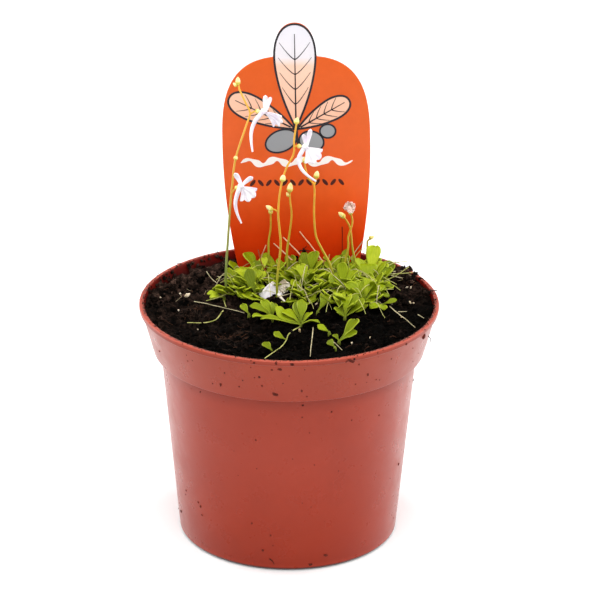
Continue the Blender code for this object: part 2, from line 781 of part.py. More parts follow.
TUFTS = {
    "tuft_front": (
        (3.5, -12.0),
        (
            (105, 8.0, 3.6, 35), (78, 8.0, 2.6, 42), (140, 7.5, 3.2, 28), (160, 9.0, 3.2, 16),
            (45, 5.5, 2.2, 30), (345, 6.0, 2.5, 16), (176, 12.5, 2.0, 12),
        ),
    ),
    "tuft_front_left": (
        (-5.0, -7.4),
        (
            (165, 8.0, 2.2, 26), (195, 6.0, 2.2, 10), (120, 6.0, 2.4, 32), (75, 4.5, 2.0, 45),
        ),
    ),
    "tuft_small_right": (
        (28.0, 0.8),
        (
            (10, 4.6, 1.7, 16), (225, 4.8, 2.4, 8), (285, 3.8, 2.0, 6),
        ),
    ),
    "tuft_sprig": ((14.8, -25.7), ((50, 10.5, 3.6, 18), (30, 6.8, 2.6, 12), (130, 3.4, 1.4, 20))),
    "tuft_right_front": (
        (16.7, -7.3),
        (
            (88, 7.0, 2.8, 42), (150, 3.8, 1.8, 30), (40, 8.5, 3.0, 16), (65, 7.5, 2.4, 38),
            (112, 10.0, 2.6, 26),
        ),
    ),
    "tuft_right_middle": (
        (22.6, 4.2),
        (
            (15, 5.2, 3.4, 18), (125, 6.5, 3.2, 36), (42, 8.5, 3.2, 18), (318, 5.0, 2.4, 8),
            (92, 6.5, 3.0, 50), (180, 6.0, 2.6, 20), (70, 5.5, 2.8, 60),
        ),
    ),
    "tuft_right_back": (
        (24.6, 18.4),
        (
            (88, 11.5, 4.5, 58), (130, 8.0, 3.4, 46), (50, 7.8, 3.4, 36), (22, 8.0, 2.0, 44),
            (342, 6.5, 3.4, 12), (20, 6.0, 3.6, 32), (165, 7.0, 3.0, 40), (300, 5.5, 3.0, 14),
            (215, 5.5, 2.8, 24),
        ),
    ),
    "tuft_right_inner": (
        (16.6, 11.6),
        (
            (75, 7.0, 3.8, 42), (118, 7.0, 3.6, 42), (20, 5.5, 2.6, 32), (160, 6.0, 2.6, 22),
            (50, 7.5, 2.4, 54), (95, 8.5, 2.6, 62), (235, 5.5, 2.8, 14), (280, 5.0, 2.8, 24),
        ),
    ),
    "tuft_back_right": (
        (14.6, 24.2),
        (
            (60, 6.5, 2.6, 42), (110, 6.0, 2.4, 55), (5, 6.5, 2.4, 32), (330, 5.5, 2.6, 24),
            (200, 5.0, 2.2, 20),
        ),
    ),
    "tuft_back": (
        (6.2, 23.0),
        (
            (75, 8.0, 3.0, 55), (115, 6.5, 2.6, 52), (135, 8.0, 3.2, 38), (340, 5.5, 2.8, 28),
            (10, 6.5, 2.6, 42), (170, 6.0, 2.8, 30), (260, 5.0, 2.6, 20), (45, 6.0, 2.4, 48),
        ),
    ),
    "tuft_middle": (
        (4.6, 14.8),
        (
            (160, 9.5, 3.2, 16), (140, 8.0, 2.4, 34), (285, 7.5, 3.0, 10), (320, 6.5, 2.6, 10),
            (10, 7.5, 3.0, 28), (100, 6.5, 2.8, 48), (205, 5.5, 2.6, 22), (50, 6.5, 2.8, 42),
            (350, 6.5, 2.6, 50),
        ),
    ),
    "tuft_back_left": (
        (-9.0, 21.6),
        (
            (137, 11.0, 3.6, 42), (75, 7.5, 2.4, 50), (20, 7.0, 2.4, 34), (345, 5.0, 2.4, 16),
            (105, 6.5, 2.4, 56), (170, 6.0, 2.6, 24),
        ),
    ),
    "tuft_left": (
        (-11.6, 15.6),
        (
            (135, 7.5, 4.0, 36), (70, 5.5, 3.2, 46), (152, 10.0, 2.2, 18), (195, 6.0, 3.0, 40),
            (340, 5.0, 2.2, 12), (212, 7.5, 2.4, 10), (258, 6.0, 2.6, 14), (108, 6.0, 2.8, 60),
        ),
    ),
    "tuft_small_left": (
        (-19.7, 9.6),
        (
            (165, 5.6, 1.8, 14), (195, 4.5, 2.2, 8), (130, 3.8, 1.6, 30),
        ),
    ),
    "tuft_lying": ((-6.2, 5.6), ((172, 8.5, 2.4, 8), (200, 4.5, 1.8, 16))),
    "tuft_spoon": ((8.6, -2.6), ((52, 7.0, 3.8, 32),)),
    "tuft_lone_left": ((-12.0, -3.6), ((125, 3.8, 1.8, 16),)),
    "tuft_lone_middle": ((12.0, -18.4), ((155, 4.2, 2.1, 12),)),
    "tuft_lone_front": ((13.6, -32.0), ((130, 4.0, 1.8, 12),)),
}
# The mat between the tufts is filled by small leaves drawn at random round these crowns.
FILLED_TUFTS = (
    "tuft_right_back", "tuft_right_inner", "tuft_right_middle", "tuft_back",
    "tuft_middle", "tuft_left", "tuft_back_left", "tuft_back_right",
)
FILLERS_EACH = 2
FILLER_LENGTH = (5.0, 7.5)
FILLER_WIDTH = (2.2, 3.2)
FILLER_RISE = (20.0, 65.0)
LEAF_ROLL = (-22.0, 22.0)
LEAF_BOW = (0.25, 0.65)

# Runners over the soil from a tuft's crown, as (x, y) points, with small leaves as
# (place along it, heading, length, width, rise).
RUNNERS = {
    "tuft_front": (
        ((3.5, -12.0), (0.2, -19.1), (-1.4, -25.7), (-4.7, -32.6), (-7.0, -36.6)),
        ((0.42, 155, 4.2, 2.4, 12), (0.80, 130, 4.6, 2.2, 12)),
    ),
    "tuft_small_left": (((-19.7, 9.6), (-19.4, 6.5), (-19.0, 4.4)), ()),
    "tuft_small_right": (((28.0, 0.8), (26.4, 3.4), (24.6, 5.6)), ()),
}


def leaf_point(foot, heading, length, rise, bow, share):
    """A point on a leaf's midrib; a low bow arches it over and a high bow turns its tip up."""
    turn = math.radians(heading)
    reach = length * math.cos(math.radians(rise))
    climb = length * math.sin(math.radians(rise))
    out = reach * (2 * bow * share * (1 - share) + share**2)
    up = climb * (2 * (1 - bow) * share * (1 - share) + share**2)
    return foot[0] + out * math.cos(turn), foot[1] + out * math.sin(turn), foot[2] + up


def leaf_width(share):
    for (a, wide_a), (b, wide_b) in zip(LEAF_OUTLINE, LEAF_OUTLINE[1:]):
        if share <= b:
            return wide_a + (wide_b - wide_a) * (share - a) / (b - a)
    return LEAF_OUTLINE[-1][1]


def leaf_rows(foot, heading, length, width, rise, roll, bow, shares, sides):
    """A leaf as rows of points across it, kept clear of the soil."""
    turn = math.radians(heading)
    rows = []
    for share in shares:
        wide = width * leaf_width(share)
        tilt = math.radians(roll) * min(1.0, 2.0 * share)
        row = []
        for side in sides:
            out = wide / 2 * side * math.cos(tilt)
            climb = wide / 2 * side * math.sin(tilt) + LEAF_CUP * wide * abs(side)
            back = LEAF_TIP_ROUND * side**2 * max(0.0, share - 0.8) / 0.2
            x, y, z = leaf_point(foot, heading, length, rise, bow, share - back)
            row.append([x - math.sin(turn) * out, y + math.cos(turn) * out, z + climb])
        need = max(soil_z(x, y) + LEAF_LIFT - z for x, y, z in row)
        if need > 0:
            for point in row:
                point[2] += need
        rows.append(row)
    return rows


def crown_foot(x, y):
    return x, y, soil_z(x, y) + CROWN_HEIGHT - LEAF_SINK


def samples(path, spacing=0.7):
    """Points every `spacing` millimetres along a path, for measuring distances."""
    found = []
    for a, b in zip(path, path[1:]):
        a, b = np.array(a, float), np.array(b, float)
        count = max(1, math.ceil(float(np.linalg.norm(b - a)) / spacing))
        found += [a + (b - a) * index / count for index in range(count)]
    found.append(np.array(path[-1], float))
    return np.array(found)


def leaf_samples(leaf):
    shares = np.linspace(0.12, 1.0, LEAF_SAMPLES)
    rows = leaf_rows(*leaf, shares, (-1.0, -0.5, 0.0, 0.5, 1.0))
    return np.array(rows).reshape(-1, 3)


def fixed_obstacles():
    """What stands among the leaves before any is placed, each with the tuft that it belongs to."""
    found = []
    for spec in STEMS.values():
        found.append((None, samples(stem_path(spec))))
    for foot, top in DRY_STALKS.values():
        found.append((None, samples(dry_stalk_path(foot, top))))
    for points in (*STRAWS.values(), *GREEN_RUNNERS.values()):
        found.append((None, samples(ground_path(points, CLEARANCE + THIN_RADIUS))))
    for name, (points, _) in RUNNERS.items():
        found.append((name, samples(ground_path(points, CLEARANCE + RUNNER_RADIUS))))
    for name, ((x, y), _) in TUFTS.items():
        ground = soil_z(x, y)
        found.append((name, samples(((x, y, ground), (x, y, ground + CROWN_HEIGHT)))))
    x, y = FALLEN_AT
    ground = soil_z(x, y)
    for spread in (-2.6, -1.6, -0.6, 0.4, 1.4):
        foot = (x + spread, y - 1.7, ground)
        found.append((None, samples((foot, (x + spread / 2, y, ground + FALLEN_HEIGHT)))))
    return found


def touches_label(points):
    near = np.abs(points[:, 1] - LABEL_Y) < LABEL_THICKNESS / 2 + BLADE / 2 + CLEARANCE
    return bool((near & (np.abs(points[:, 0] - LABEL_PIVOT[0]) < CARD_HALF_WIDTH)).any())


def touches_pot(points):
    radius = np.hypot(points[:, 0], points[:, 1])
    return bool((radius > RIM_RADIUS - LIP_WIDTH - WALL - LEAF_GAP).any())


def fits(points, owner, placed):
    if touches_label(points) or touches_pot(points):
        return False
    low, high = points.min(axis=0) - LEAF_GAP, points.max(axis=0) + LEAF_GAP
    for name, others in placed:
        if name == owner:
            continue
        near = others[((others > low) & (others < high)).all(axis=1)]
        if len(near) and np.min(np.linalg.norm(points[:, None] - near[None], axis=2)) < LEAF_GAP:
            return False
    return True


def bend_clear(owner, leaf, placed):
    """Turns and lifts a leaf a little at a time until it clears its neighbours; None if it can't."""
    foot, heading, length, width, rise, roll, bow = leaf
    turns = sorted(range(-TURN_TRIES, TURN_TRIES + 1), key=abs)
    for turn in turns:
        for lift in LIFT_TRIES:
            tried = (foot, heading + turn * TURN_STEP, length, width, rise + lift, roll, bow)
            points = leaf_samples(tried)
            if fits(points, owner, placed):
                placed.append((owner, points))
                return tried
    return None


def lay_out_leaves():
    """Every leaf as (foot, heading, length, width, rise, roll, bow), listed under its tuft."""
    draw = random.Random(SEED)
    placed = fixed_obstacles()
    leaves = {name: [] for name in TUFTS}
    for name, (crown, rows) in TUFTS.items():
        for heading, length, width, rise in rows:
            roll, bow = draw.uniform(*LEAF_ROLL), draw.uniform(*LEAF_BOW)
            leaf = (crown_foot(*crown), heading, length, width, rise, roll, bow)
            found = bend_clear(name, leaf, placed)
            if found:
                leaves[name].append(found)
    for name, (points, rows) in RUNNERS.items():
        path = ground_path(points, CLEARANCE + RUNNER_RADIUS)
        for place, heading, length, width, rise in rows:
            foot = tuple(path[round(place * (len(path) - 1))])
            found = bend_clear(name, (foot, heading, length, width, rise, 0.0, 0.4), placed)
            if found:
                leaves[name].append(found)
    for name in FILLED_TUFTS:
        crown = TUFTS[name][0]
        for _ in range(FILLERS_EACH):
            ranges = ((0.0, 360.0), FILLER_LENGTH, FILLER_WIDTH, FILLER_RISE, LEAF_ROLL, LEAF_BOW)
            leaf = (crown_foot(*crown), *[draw.uniform(*limits) for limits in ranges])
            found = bend_clear(name, leaf, placed)
            if found:
                leaves[name].append(found)
    return leaves


def crown_stock(x, y):
    """The short stock that a tuft's leaves grow from, rooted in the soil."""
    ground = soil_z(x, y)
    path = [(x, y, ground - CROWN_ROOT), (x, y, ground), (x, y, ground + CROWN_HEIGHT)]
    return tube(path, [CROWN_RADIUS / 2, CROWN_RADIUS, CROWN_RADIUS * 0.8], CROWN_SIDES)


def make_tufts():
    green = finish("leaf_green", (0.30, 0.45, 0.03), 0.45)
    shares = [share for share, _ in LEAF_OUTLINE]
    for name, leaves in lay_out_leaves().items():
        solids = [crown_stock(*TUFTS[name][0])]
        for leaf in leaves:
            sides = (-1.0, 1.0) if leaf[3] <= NARROW_LEAF else (-1.0, 0.0, 1.0)
            solids.append(sheet(leaf_rows(*leaf, shares, sides), BLADE))
        if name in RUNNERS:
            path = ground_path(RUNNERS[name][0], CLEARANCE + RUNNER_RADIUS)
            solids.append(thin_rod(path, RUNNER_RADIUS))
        fuse(name, solids, green)


# Soil, with a hole for everything that stands in it.


def soil_holes():
    """A plain hole for each thing rooted in the soil, as prisms."""
    holes = []
    for spec in STEMS.values():
        x, y, _ = spec["path"][0]
        holes.append((x, y, STEM_RADIUS, STEM_ROOT))
    for foot, _ in DRY_STALKS.values():
        holes.append((*foot, THIN_RADIUS, DRY_STALK_ROOT))
    for (x, y), _ in TUFTS.values():
        holes.append((x, y, CROWN_RADIUS, CROWN_ROOT))
    cutters = []
    for x, y, radius, depth in holes:
        ground = soil_z(x, y)
        wide = radius / math.cos(math.pi / HOLE_SIDES) + CLEARANCE
        bottom = ground - depth - CLEARANCE
        cutters.append(prism(x, y, wide, bottom, ground + HOLE_OVERSHOOT, HOLE_SIDES))
    return cutters


def soil_ring(radius, height):
    """One ring of the soil's points; the height is a number or a function of x and y."""
    ring = []
    for step in range(SEGMENTS):
        angle = math.tau * step / SEGMENTS
        x, y = radius * math.cos(angle), radius * math.sin(angle)
        ring.append((x, y, height(x, y) if callable(height) else height))
    return ring


def make_soil():
    """The peat that fills the pot, a clearance inside its wall, with its lumpy top."""
    peat = finish("peat", (0.020, 0.013, 0.009), 0.95)
    top_radius = inner_radius(SOIL_LEVEL - 1.5) - CLEARANCE
    rings = [soil_ring(share * top_radius, soil_z) for share in SOIL_RINGS]
    step_z = INNER_STEP_Z + CLEARANCE
    rings.append(soil_ring(inner_radius(step_z) - CLEARANCE, step_z))
    rings.append(soil_ring(BODY_TOP_RADIUS - WALL - CLEARANCE, step_z))
    rings.append(soil_ring(BODY_FOOT_RADIUS - WALL - CLEARANCE, FLOOR_TOP_Z + CLEARANCE))
    points = [(0.0, 0.0, soil_z(0.0, 0.0))]
    faces = []
    for count, ring in enumerate(rings):
        low = len(points)
        points += ring
        for step in range(SEGMENTS):
            after = (step + 1) % SEGMENTS
            if count == 0:
                faces.append((0, low + step, low + after))
                continue
            above = low - SEGMENTS
            faces += [(above + step, low + step, low + after), (above + step, low + after, above + after)]
    faces.append(tuple(reversed(range(len(points) - SEGMENTS, len(points)))))
    soil = add_solid("soil", (points, faces), peat)
    boolean(soil, [label_slot(), *soil_holes()], "DIFFERENCE")


clear_scene()
make_pot()
make_soil()
make_label()
make_stems()
make_blooms()
make_tufts()
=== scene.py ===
"""A bladderwort in flower in its nursery pot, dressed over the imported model.

Sizes are in millimetres, and MM turns them into metres where a mesh is made. The origin is the
middle of the pot's base, +Z is up and the front of the pot faces -Y.
"""

import math
import random

import bpy
import numpy as np
from mathutils import Euler, Matrix, Vector, noise


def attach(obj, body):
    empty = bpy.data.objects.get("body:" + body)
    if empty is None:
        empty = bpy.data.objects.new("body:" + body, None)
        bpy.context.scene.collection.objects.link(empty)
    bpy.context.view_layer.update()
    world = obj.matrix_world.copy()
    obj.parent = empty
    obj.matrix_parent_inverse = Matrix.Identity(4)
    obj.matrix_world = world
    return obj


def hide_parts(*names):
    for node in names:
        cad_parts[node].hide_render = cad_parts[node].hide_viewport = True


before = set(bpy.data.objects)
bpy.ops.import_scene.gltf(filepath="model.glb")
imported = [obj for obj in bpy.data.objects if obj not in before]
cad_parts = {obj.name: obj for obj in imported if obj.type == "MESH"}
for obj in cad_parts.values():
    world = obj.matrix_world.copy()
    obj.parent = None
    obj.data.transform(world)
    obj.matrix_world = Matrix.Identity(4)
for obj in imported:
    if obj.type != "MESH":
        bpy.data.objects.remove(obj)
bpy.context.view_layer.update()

# Camera: where the photograph was taken from, a little above the pot and far off, with a long
# lens, so the pot's sides hardly narrow with distance.
MM = 0.001
CAMERA_PITCH = 0.4013
CAMERA_ROLL = 0.0073
CAMERA_DISTANCE = 1098.26
CAMERA_TARGET = Vector((3.247, 0.0, 74.246))
FOCAL_LENGTH = 219.64
SENSOR_WIDTH = 36.0

toward_camera = Vector((0.0, -math.cos(CAMERA_PITCH), math.sin(CAMERA_PITCH)))
lens = bpy.data.cameras.new("photo_camera")
lens.lens = FOCAL_LENGTH
lens.sensor_width = SENSOR_WIDTH
camera = bpy.data.objects.new("photo_camera", lens)
camera.location = (CAMERA_TARGET + toward_camera * CAMERA_DISTANCE) * MM
aim = toward_camera.to_track_quat("Z", "Y").to_matrix() @ Matrix.Rotation(CAMERA_ROLL, 3, "Z")
camera.rotation_euler = aim.to_euler()
bpy.context.scene.collection.objects.link(camera)
bpy.context.scene.camera = camera

# Studio: a white sweep under a light tent, with softboxes above, in front and behind each side.
# They are bright enough to wash the sweep out to white, apart from the shade right at the pot.
SWEEP_SIZE = 12000.0
TENT_LIGHT = 0.42
SWEEP_GLOW = 0.11
SWEEP_GLOW_COLOUR = (0.9, 1.0, 1.0, 1.0)
WHITE = (1.0, 1.0, 1.0, 1.0)
# Softboxes are (place, target, size, power).
SOFTBOXES = {
    "softbox_above": ((0.0, -150.0, 900.0), (0.0, 0.0, 60.0), 800.0, 6.4),
    "softbox_front": ((0.0, -800.0, 640.0), (0.0, 0.0, 60.0), 600.0, 3.2),
    "softbox_left": ((-700.0, 330.0, 330.0), (0.0, 0.0, 50.0), 560.0, 5.0),
    "softbox_right": ((740.0, 240.0, 330.0), (0.0, 0.0, 50.0), 600.0, 5.5),
}
bpy.context.scene.view_settings.view_transform = "Standard"


def paint(red, green, blue):
    """A colour read off a paint chip, 0 to 255, as the linear values that a shader takes."""
    shares = [value / 255 for value in (red, green, blue)]
    linear = [s / 12.92 if s <= 0.04045 else ((s + 0.055) / 1.055) ** 2.4 for s in shares]
    return (*linear, 1.0)


def put(tree, kind, inputs=(), **settings):
    """Puts a node on a tree, with its settings and the values of its input sockets."""
    made = tree.nodes.new("ShaderNode" + kind)
    for name, value in settings.items():
        setattr(made, name, value)
    for socket, value in dict(inputs).items():
        made.inputs[socket].default_value = value
    return made


def wire(tree, *runs):
    """Links output sockets to input sockets, in pairs."""
    for start, end in runs:
        tree.links.new(start, end)


def new_finish(name, roughness, shine=0.5, colour=(0.8, 0.8, 0.8, 1.0)):
    """A material with its shader's plain values set; returns it with its node tree and shader."""
    material = bpy.data.materials.new(name)
    material.use_nodes = True
    shader = material.node_tree.nodes["Principled BSDF"]
    shader.inputs["Base Color"].default_value = colour
    shader.inputs["Roughness"].default_value = roughness
    shader.inputs["Specular IOR Level"].default_value = shine
    return material, material.node_tree, shader


world = bpy.data.worlds.new("light_tent")
world.use_nodes = True
tent = world.node_tree
lit = tent.nodes["Background"]
lit.inputs["Color"].default_value = WHITE
lit.inputs["Strength"].default_value = TENT_LIGHT
seen = put(tent, "Background", {"Color": WHITE, "Strength": 1.0})
which = put(tent, "MixShader")
wire(
    tent,
    (put(tent, "LightPath").outputs["Is Camera Ray"], which.inputs["Fac"]),
    (lit.outputs[0], which.inputs[1]),
    (seen.outputs[0], which.inputs[2]),
    (which.outputs[0], tent.nodes["World Output"].inputs["Surface"]),
)
bpy.context.scene.world = world
for name, (place, target, size, power) in SOFTBOXES.items():
    lamp = bpy.data.lights.new(name, "AREA")
    lamp.size = size * MM
    lamp.energy = power
    box = bpy.data.objects.new(name, lamp)
    box.location = Vector(place) * MM
    box.rotation_euler = (Vector(place) - Vector(target)).to_track_quat("Z", "Y").to_euler()
    bpy.context.scene.collection.objects.link(box)

bpy.ops.object.select_all(action="DESELECT")
bpy.ops.mesh.primitive_plane_add(size=SWEEP_SIZE * MM)
sweep = bpy.context.object
sweep.name = "white_sweep"
sweep_white, tree, shader = new_finish("sweep_white", 0.9, 0.2, (0.89, 0.89, 0.89, 1.0))
shader.inputs["Emission Color"].default_value = SWEEP_GLOW_COLOUR
shader.inputs["Emission Strength"].default_value = SWEEP_GLOW
sweep.data.materials.append(sweep_white)

# Pot: a 9 cm nursery pot, thermoformed from thin terracotta-red plastic. A rolled lip stiffens
# its flared collar, which steps in over the tapering body, and four drain holes were punched. It
# is dull from handling, with grime on the lip. Outside, its colour holds painted shade at the
# foot, under the collar's step and on the lip's lower edge, with painted highlights on the foot's
# edge and along the lip's top. Inside, the wall is painted darker as painted shade, darkest at
# the soil line, where damp peat has also stained it.
POT_HEIGHT = 73.8
RIM_RADIUS = 45.0
LIP_WIDTH = 1.5
LIP_HEIGHT = 1.5
COLLAR_TOP_RADIUS = 44.3
COLLAR_FOOT_RADIUS = 40.7
COLLAR_FOOT_Z = 59.1
BODY_TOP_RADIUS = 38.6
BODY_FOOT_RADIUS = 33.1
WALL = 1.0
INNER_STEP_Z = COLLAR_FOOT_Z + WALL
FOOT_HEIGHT = 1.2
FOOT_INNER_RADIUS = 29.5
FOOT_EDGE = 0.9
FLOOR_TOP_Z = 2.4
POT_STEPS = 192
SOIL_LINE = 70.0
GRIME_EDGE = 44.7
GRIME_FADE = 0.8
ROLL_RADIUS = 0.5
ROLL_ANGLE = 25
SMOOTH_ANGLE = 32
MERGE_GAP = 0.01
ORANGE_PEEL = 0.007
BLACK = (0.0, 0.0, 0.0, 1.0)
INWARD_SHARE = 0.3
POT_SHEEN = 0.12
POT_SHEEN_ROUGHNESS = 0.4
DRAIN_COUNT = 4
DRAIN_STEPS = 32
DRAIN_RADIUS = 2.6
DRAIN_CIRCLE = 20.0
DRAIN_CUT_DEPTH = 8.0


def inner_radius(z):
    """The inside of the pot's wall at a height."""
    if z >= INNER_STEP_Z:
        share = (z - COLLAR_FOOT_Z) / (POT_HEIGHT - LIP_HEIGHT - COLLAR_FOOT_Z)
        return COLLAR_FOOT_RADIUS - WALL + (COLLAR_TOP_RADIUS - COLLAR_FOOT_RADIUS) * share
    share = (z - FLOOR_TOP_Z) / (INNER_STEP_Z - FLOOR_TOP_Z)
    return BODY_FOOT_RADIUS - WALL + (BODY_TOP_RADIUS - BODY_FOOT_RADIUS) * share


def pick(piece):
    """Selects a piece alone and makes it active."""
    bpy.ops.object.select_all(action="DESELECT")
    piece.select_set(True)
    bpy.context.view_layer.objects.active = piece


def new_piece(name, points, faces=(), edges=()):
    """An object from points in millimetres, selected alone and active."""
    mesh = bpy.data.meshes.new(name)
    mesh.from_pydata([tuple(c * MM for c in point) for point in points], edges, faces)
    piece = bpy.data.objects.new(name, mesh)
    bpy.context.scene.collection.objects.link(piece)
    pick(piece)
    return piece


def turned(name, profile, steps):
    """Spins a run of (radius, z) points round the pot's axis into one closed shell."""
    points = [(radius, 0.0, z) for radius, z in profile]
    piece = new_piece(name, points, edges=[(i, i + 1) for i in range(len(points) - 1)])
    bpy.ops.object.mode_set(mode="EDIT")
    bpy.ops.mesh.select_all(action="SELECT")
    bpy.ops.mesh.spin(steps=steps, angle=math.tau, center=(0, 0, 0), axis=(0, 0, 1))
    bpy.ops.mesh.select_all(action="SELECT")
    bpy.ops.mesh.remove_doubles(threshold=MERGE_GAP * MM)
    bpy.ops.mesh.normals_make_consistent(inside=False)
    bpy.ops.object.mode_set(mode="OBJECT")
    return piece


def apply_modifier(piece, kind, **settings):
    """Adds a modifier to the piece and applies it."""
    bpy.context.view_layer.objects.active = piece
    modifier = piece.modifiers.new(kind.lower(), kind)
    for name, value in settings.items():
        setattr(modifier, name, value)
    bpy.ops.object.modifier_apply(modifier=modifier.name)


pot_lip_foot = POT_HEIGHT - LIP_HEIGHT
pot_shell = turned("pot_shell", (
    (0.0, FOOT_HEIGHT),
    (FOOT_INNER_RADIUS - FOOT_HEIGHT, FOOT_HEIGHT),
    (FOOT_INNER_RADIUS, 0.0),
    (BODY_FOOT_RADIUS - FOOT_EDGE, 0.0),
    (BODY_FOOT_RADIUS, FOOT_EDGE),
    (BODY_TOP_RADIUS, COLLAR_FOOT_Z),
    (COLLAR_FOOT_RADIUS, COLLAR_FOOT_Z),
    (COLLAR_TOP_RADIUS, pot_lip_foot),
    (RIM_RADIUS, pot_lip_foot),
    (RIM_RADIUS, POT_HEIGHT),
    (RIM_RADIUS - LIP_WIDTH, POT_HEIGHT),
    (COLLAR_TOP_RADIUS - WALL, pot_lip_foot),
    (inner_radius(INNER_STEP_Z), INNER_STEP_Z),
    (BODY_TOP_RADIUS - WALL, INNER_STEP_Z),
    (BODY_FOOT_RADIUS - WALL, FLOOR_TOP_Z),
    (0.0, FLOOR_TOP_Z),
), POT_STEPS)
apply_modifier(
    pot_shell, "BEVEL", width=ROLL_RADIUS * MM, segments=3,
    limit_method="ANGLE", angle_limit=math.radians(ROLL_ANGLE),
)
for index in range(DRAIN_COUNT):
    angle = math.tau * (index + 0.5) / DRAIN_COUNT
    bpy.ops.mesh.primitive_cylinder_add(
        vertices=DRAIN_STEPS, radius=DRAIN_RADIUS * MM, depth=DRAIN_CUT_DEPTH * MM,
        location=(DRAIN_CIRCLE * MM * math.cos(angle), DRAIN_CIRCLE * MM * math.sin(angle), 0.0),
    )
    punch = bpy.context.object
    apply_modifier(pot_shell, "BOOLEAN", object=punch, operation="DIFFERENCE", solver="EXACT")
    bpy.data.objects.remove(punch, do_unlink=True)


def new_group(name, inputs, outputs):
    """A shader node group with named sockets; returns it with its two end nodes."""
    tree = bpy.data.node_groups.new(name, "ShaderNodeTree")
    for in_out, sockets in (("INPUT", inputs), ("OUTPUT", outputs)):
        for label, kind in sockets.items():
            tree.interface.new_socket(label, in_out=in_out, socket_type="NodeSocket" + kind)
    return tree, tree.nodes.new("NodeGroupInput"), tree.nodes.new("NodeGroupOutput")


mottle, mottle_in, mottle_out = new_group(
    "mottle",
    {"Scale": "Float", "Low": "Float", "High": "Float", "Dark": "Color", "Light": "Color"},
    {"Colour": "Color", "Share": "Float"},
)
mottle_noise = put(mottle, "TexNoise", {"Detail": 5.0, "Roughness": 0.6})
mottle_range = put(mottle, "MapRange")
mottle_mix = put(mottle, "Mix", data_type="RGBA")
wire(
    mottle,
    (put(mottle, "TexCoord").outputs["Object"], mottle_noise.inputs["Vector"]),
    (mottle_in.outputs["Scale"], mottle_noise.inputs["Scale"]),
    (mottle_noise.outputs["Fac"], mottle_range.inputs["Value"]),
    (mottle_in.outputs["Low"], mottle_range.inputs["From Min"]),
    (mottle_in.outputs["High"], mottle_range.inputs["From Max"]),
    (mottle_range.outputs[0], mottle_mix.inputs["Factor"]),
    (mottle_in.outputs["Dark"], mottle_mix.inputs[6]),
    (mottle_in.outputs["Light"], mottle_mix.inputs[7]),
    (mottle_mix.outputs[2], mottle_out.inputs["Colour"]),
    (mottle_range.outputs[0], mottle_out.inputs["Share"]),
)
rise, rise_in, rise_out = new_group(
    "rise", {"Bottom": "Float", "Top": "Float"}, {"Share": "Float"}
)
rise_split = put(rise, "SeparateXYZ")
rise_range = put(rise, "MapRange")
wire(
    rise,
    (put(rise, "TexCoord").outputs["Object"], rise_split.inputs[0]),
    (rise_split.outputs["Z"], rise_range.inputs["Value"]),
    (rise_in.outputs["Bottom"], rise_range.inputs["From Min"]),
    (rise_in.outputs["Top"], rise_range.inputs["From Max"]),
    (rise_range.outputs[0], rise_out.inputs["Share"]),
)


def mottled(tree, scale, dark, light, low=0.35, high=0.65):
    """Puts the mottle group on a tree: two colours in patches, `scale` of them to the metre."""
    made = put(tree, "Group", node_tree=mottle)
    values = {"Scale": scale, "Low": low, "High": high, "Dark": dark, "Light": light}
    for socket, value in values.items():
        made.inputs[socket].default_value = value
    return made


def banded(tree, bottom, top, stops):
    """Colours that change with height, as (height in mm, red, green, blue) stops."""
    made = put(tree, "Group", node_tree=rise)
    made.inputs["Bottom"].default_value = bottom * MM
    made.inputs["Top"].default_value = top * MM
    ramp = put(tree, "ValToRGB")
    bands = ramp.color_ramp.elements
    bands[1].position = 1.0
    while len(bands) < len(stops):
        bands.new(0.5)
    for band, (height, *_) in zip(bands, stops):
        band.position = (height - bottom) / (top - bottom)
    for band, (_, *colour) in zip(bands, stops):
        band.color = paint(*colour)
    tree.links.new(made.outputs["Share"], ramp.inputs["Fac"])
    return ramp.outputs["Color"]


def multiplied(tree, first, second):
    """Two colours multiplied, each given as an output socket."""
    made = put(tree, "Mix", {"Factor": 1.0}, data_type="RGBA", blend_type="MULTIPLY")
    wire(tree, (first, made.inputs[6]), (second, made.inputs[7]))
    return made.outputs[2]


def blended(tree, share, first, second):
    """Two colours mixed by a share; each is an output socket or a plain colour."""
    made = put(tree, "Mix", data_type="RGBA")
    tree.links.new(share, made.inputs["Factor"])
    for socket, colour in ((made.inputs[6], first), (made.inputs[7], second)):
        if isinstance(colour, bpy.types.NodeSocket):
            tree.links.new(colour, socket)
        else:
            socket.default_value = colour
    return made.outputs[2]


def coloured(tree, shader, colour):
    """Gives the shader its colour from an output socket."""
    tree.links.new(colour, shader.inputs["Base Color"])


def mottled_finish(name, roughness, shine, scale, dark, light, low=0.35, high=0.65):
    """A material whose colour is two paints in patches."""
    material, tree, shader = new_finish(name, roughness, shine)
    patches = mottled(tree, scale, paint(*dark), paint(*light), low, high)
    coloured(tree, shader, patches.outputs["Colour"])
    return material


def bumped(tree, shader, height, distance, strength=1.0):
    """A bump of so many millimetres, from a height between 0 and 1."""
    bump = put(tree, "Bump", {"Strength": strength, "Distance": distance * MM})
    wire(tree, (height, bump.inputs["Height"]), (bump.outputs["Normal"], shader.inputs["Normal"]))


pot_plastic, tree, shader = new_finish("pot_plastic", 0.3, 0.2)
shader.inputs["Sheen Weight"].default_value = POT_SHEEN
shader.inputs["Sheen Roughness"].default_value = POT_SHEEN_ROUGHNESS
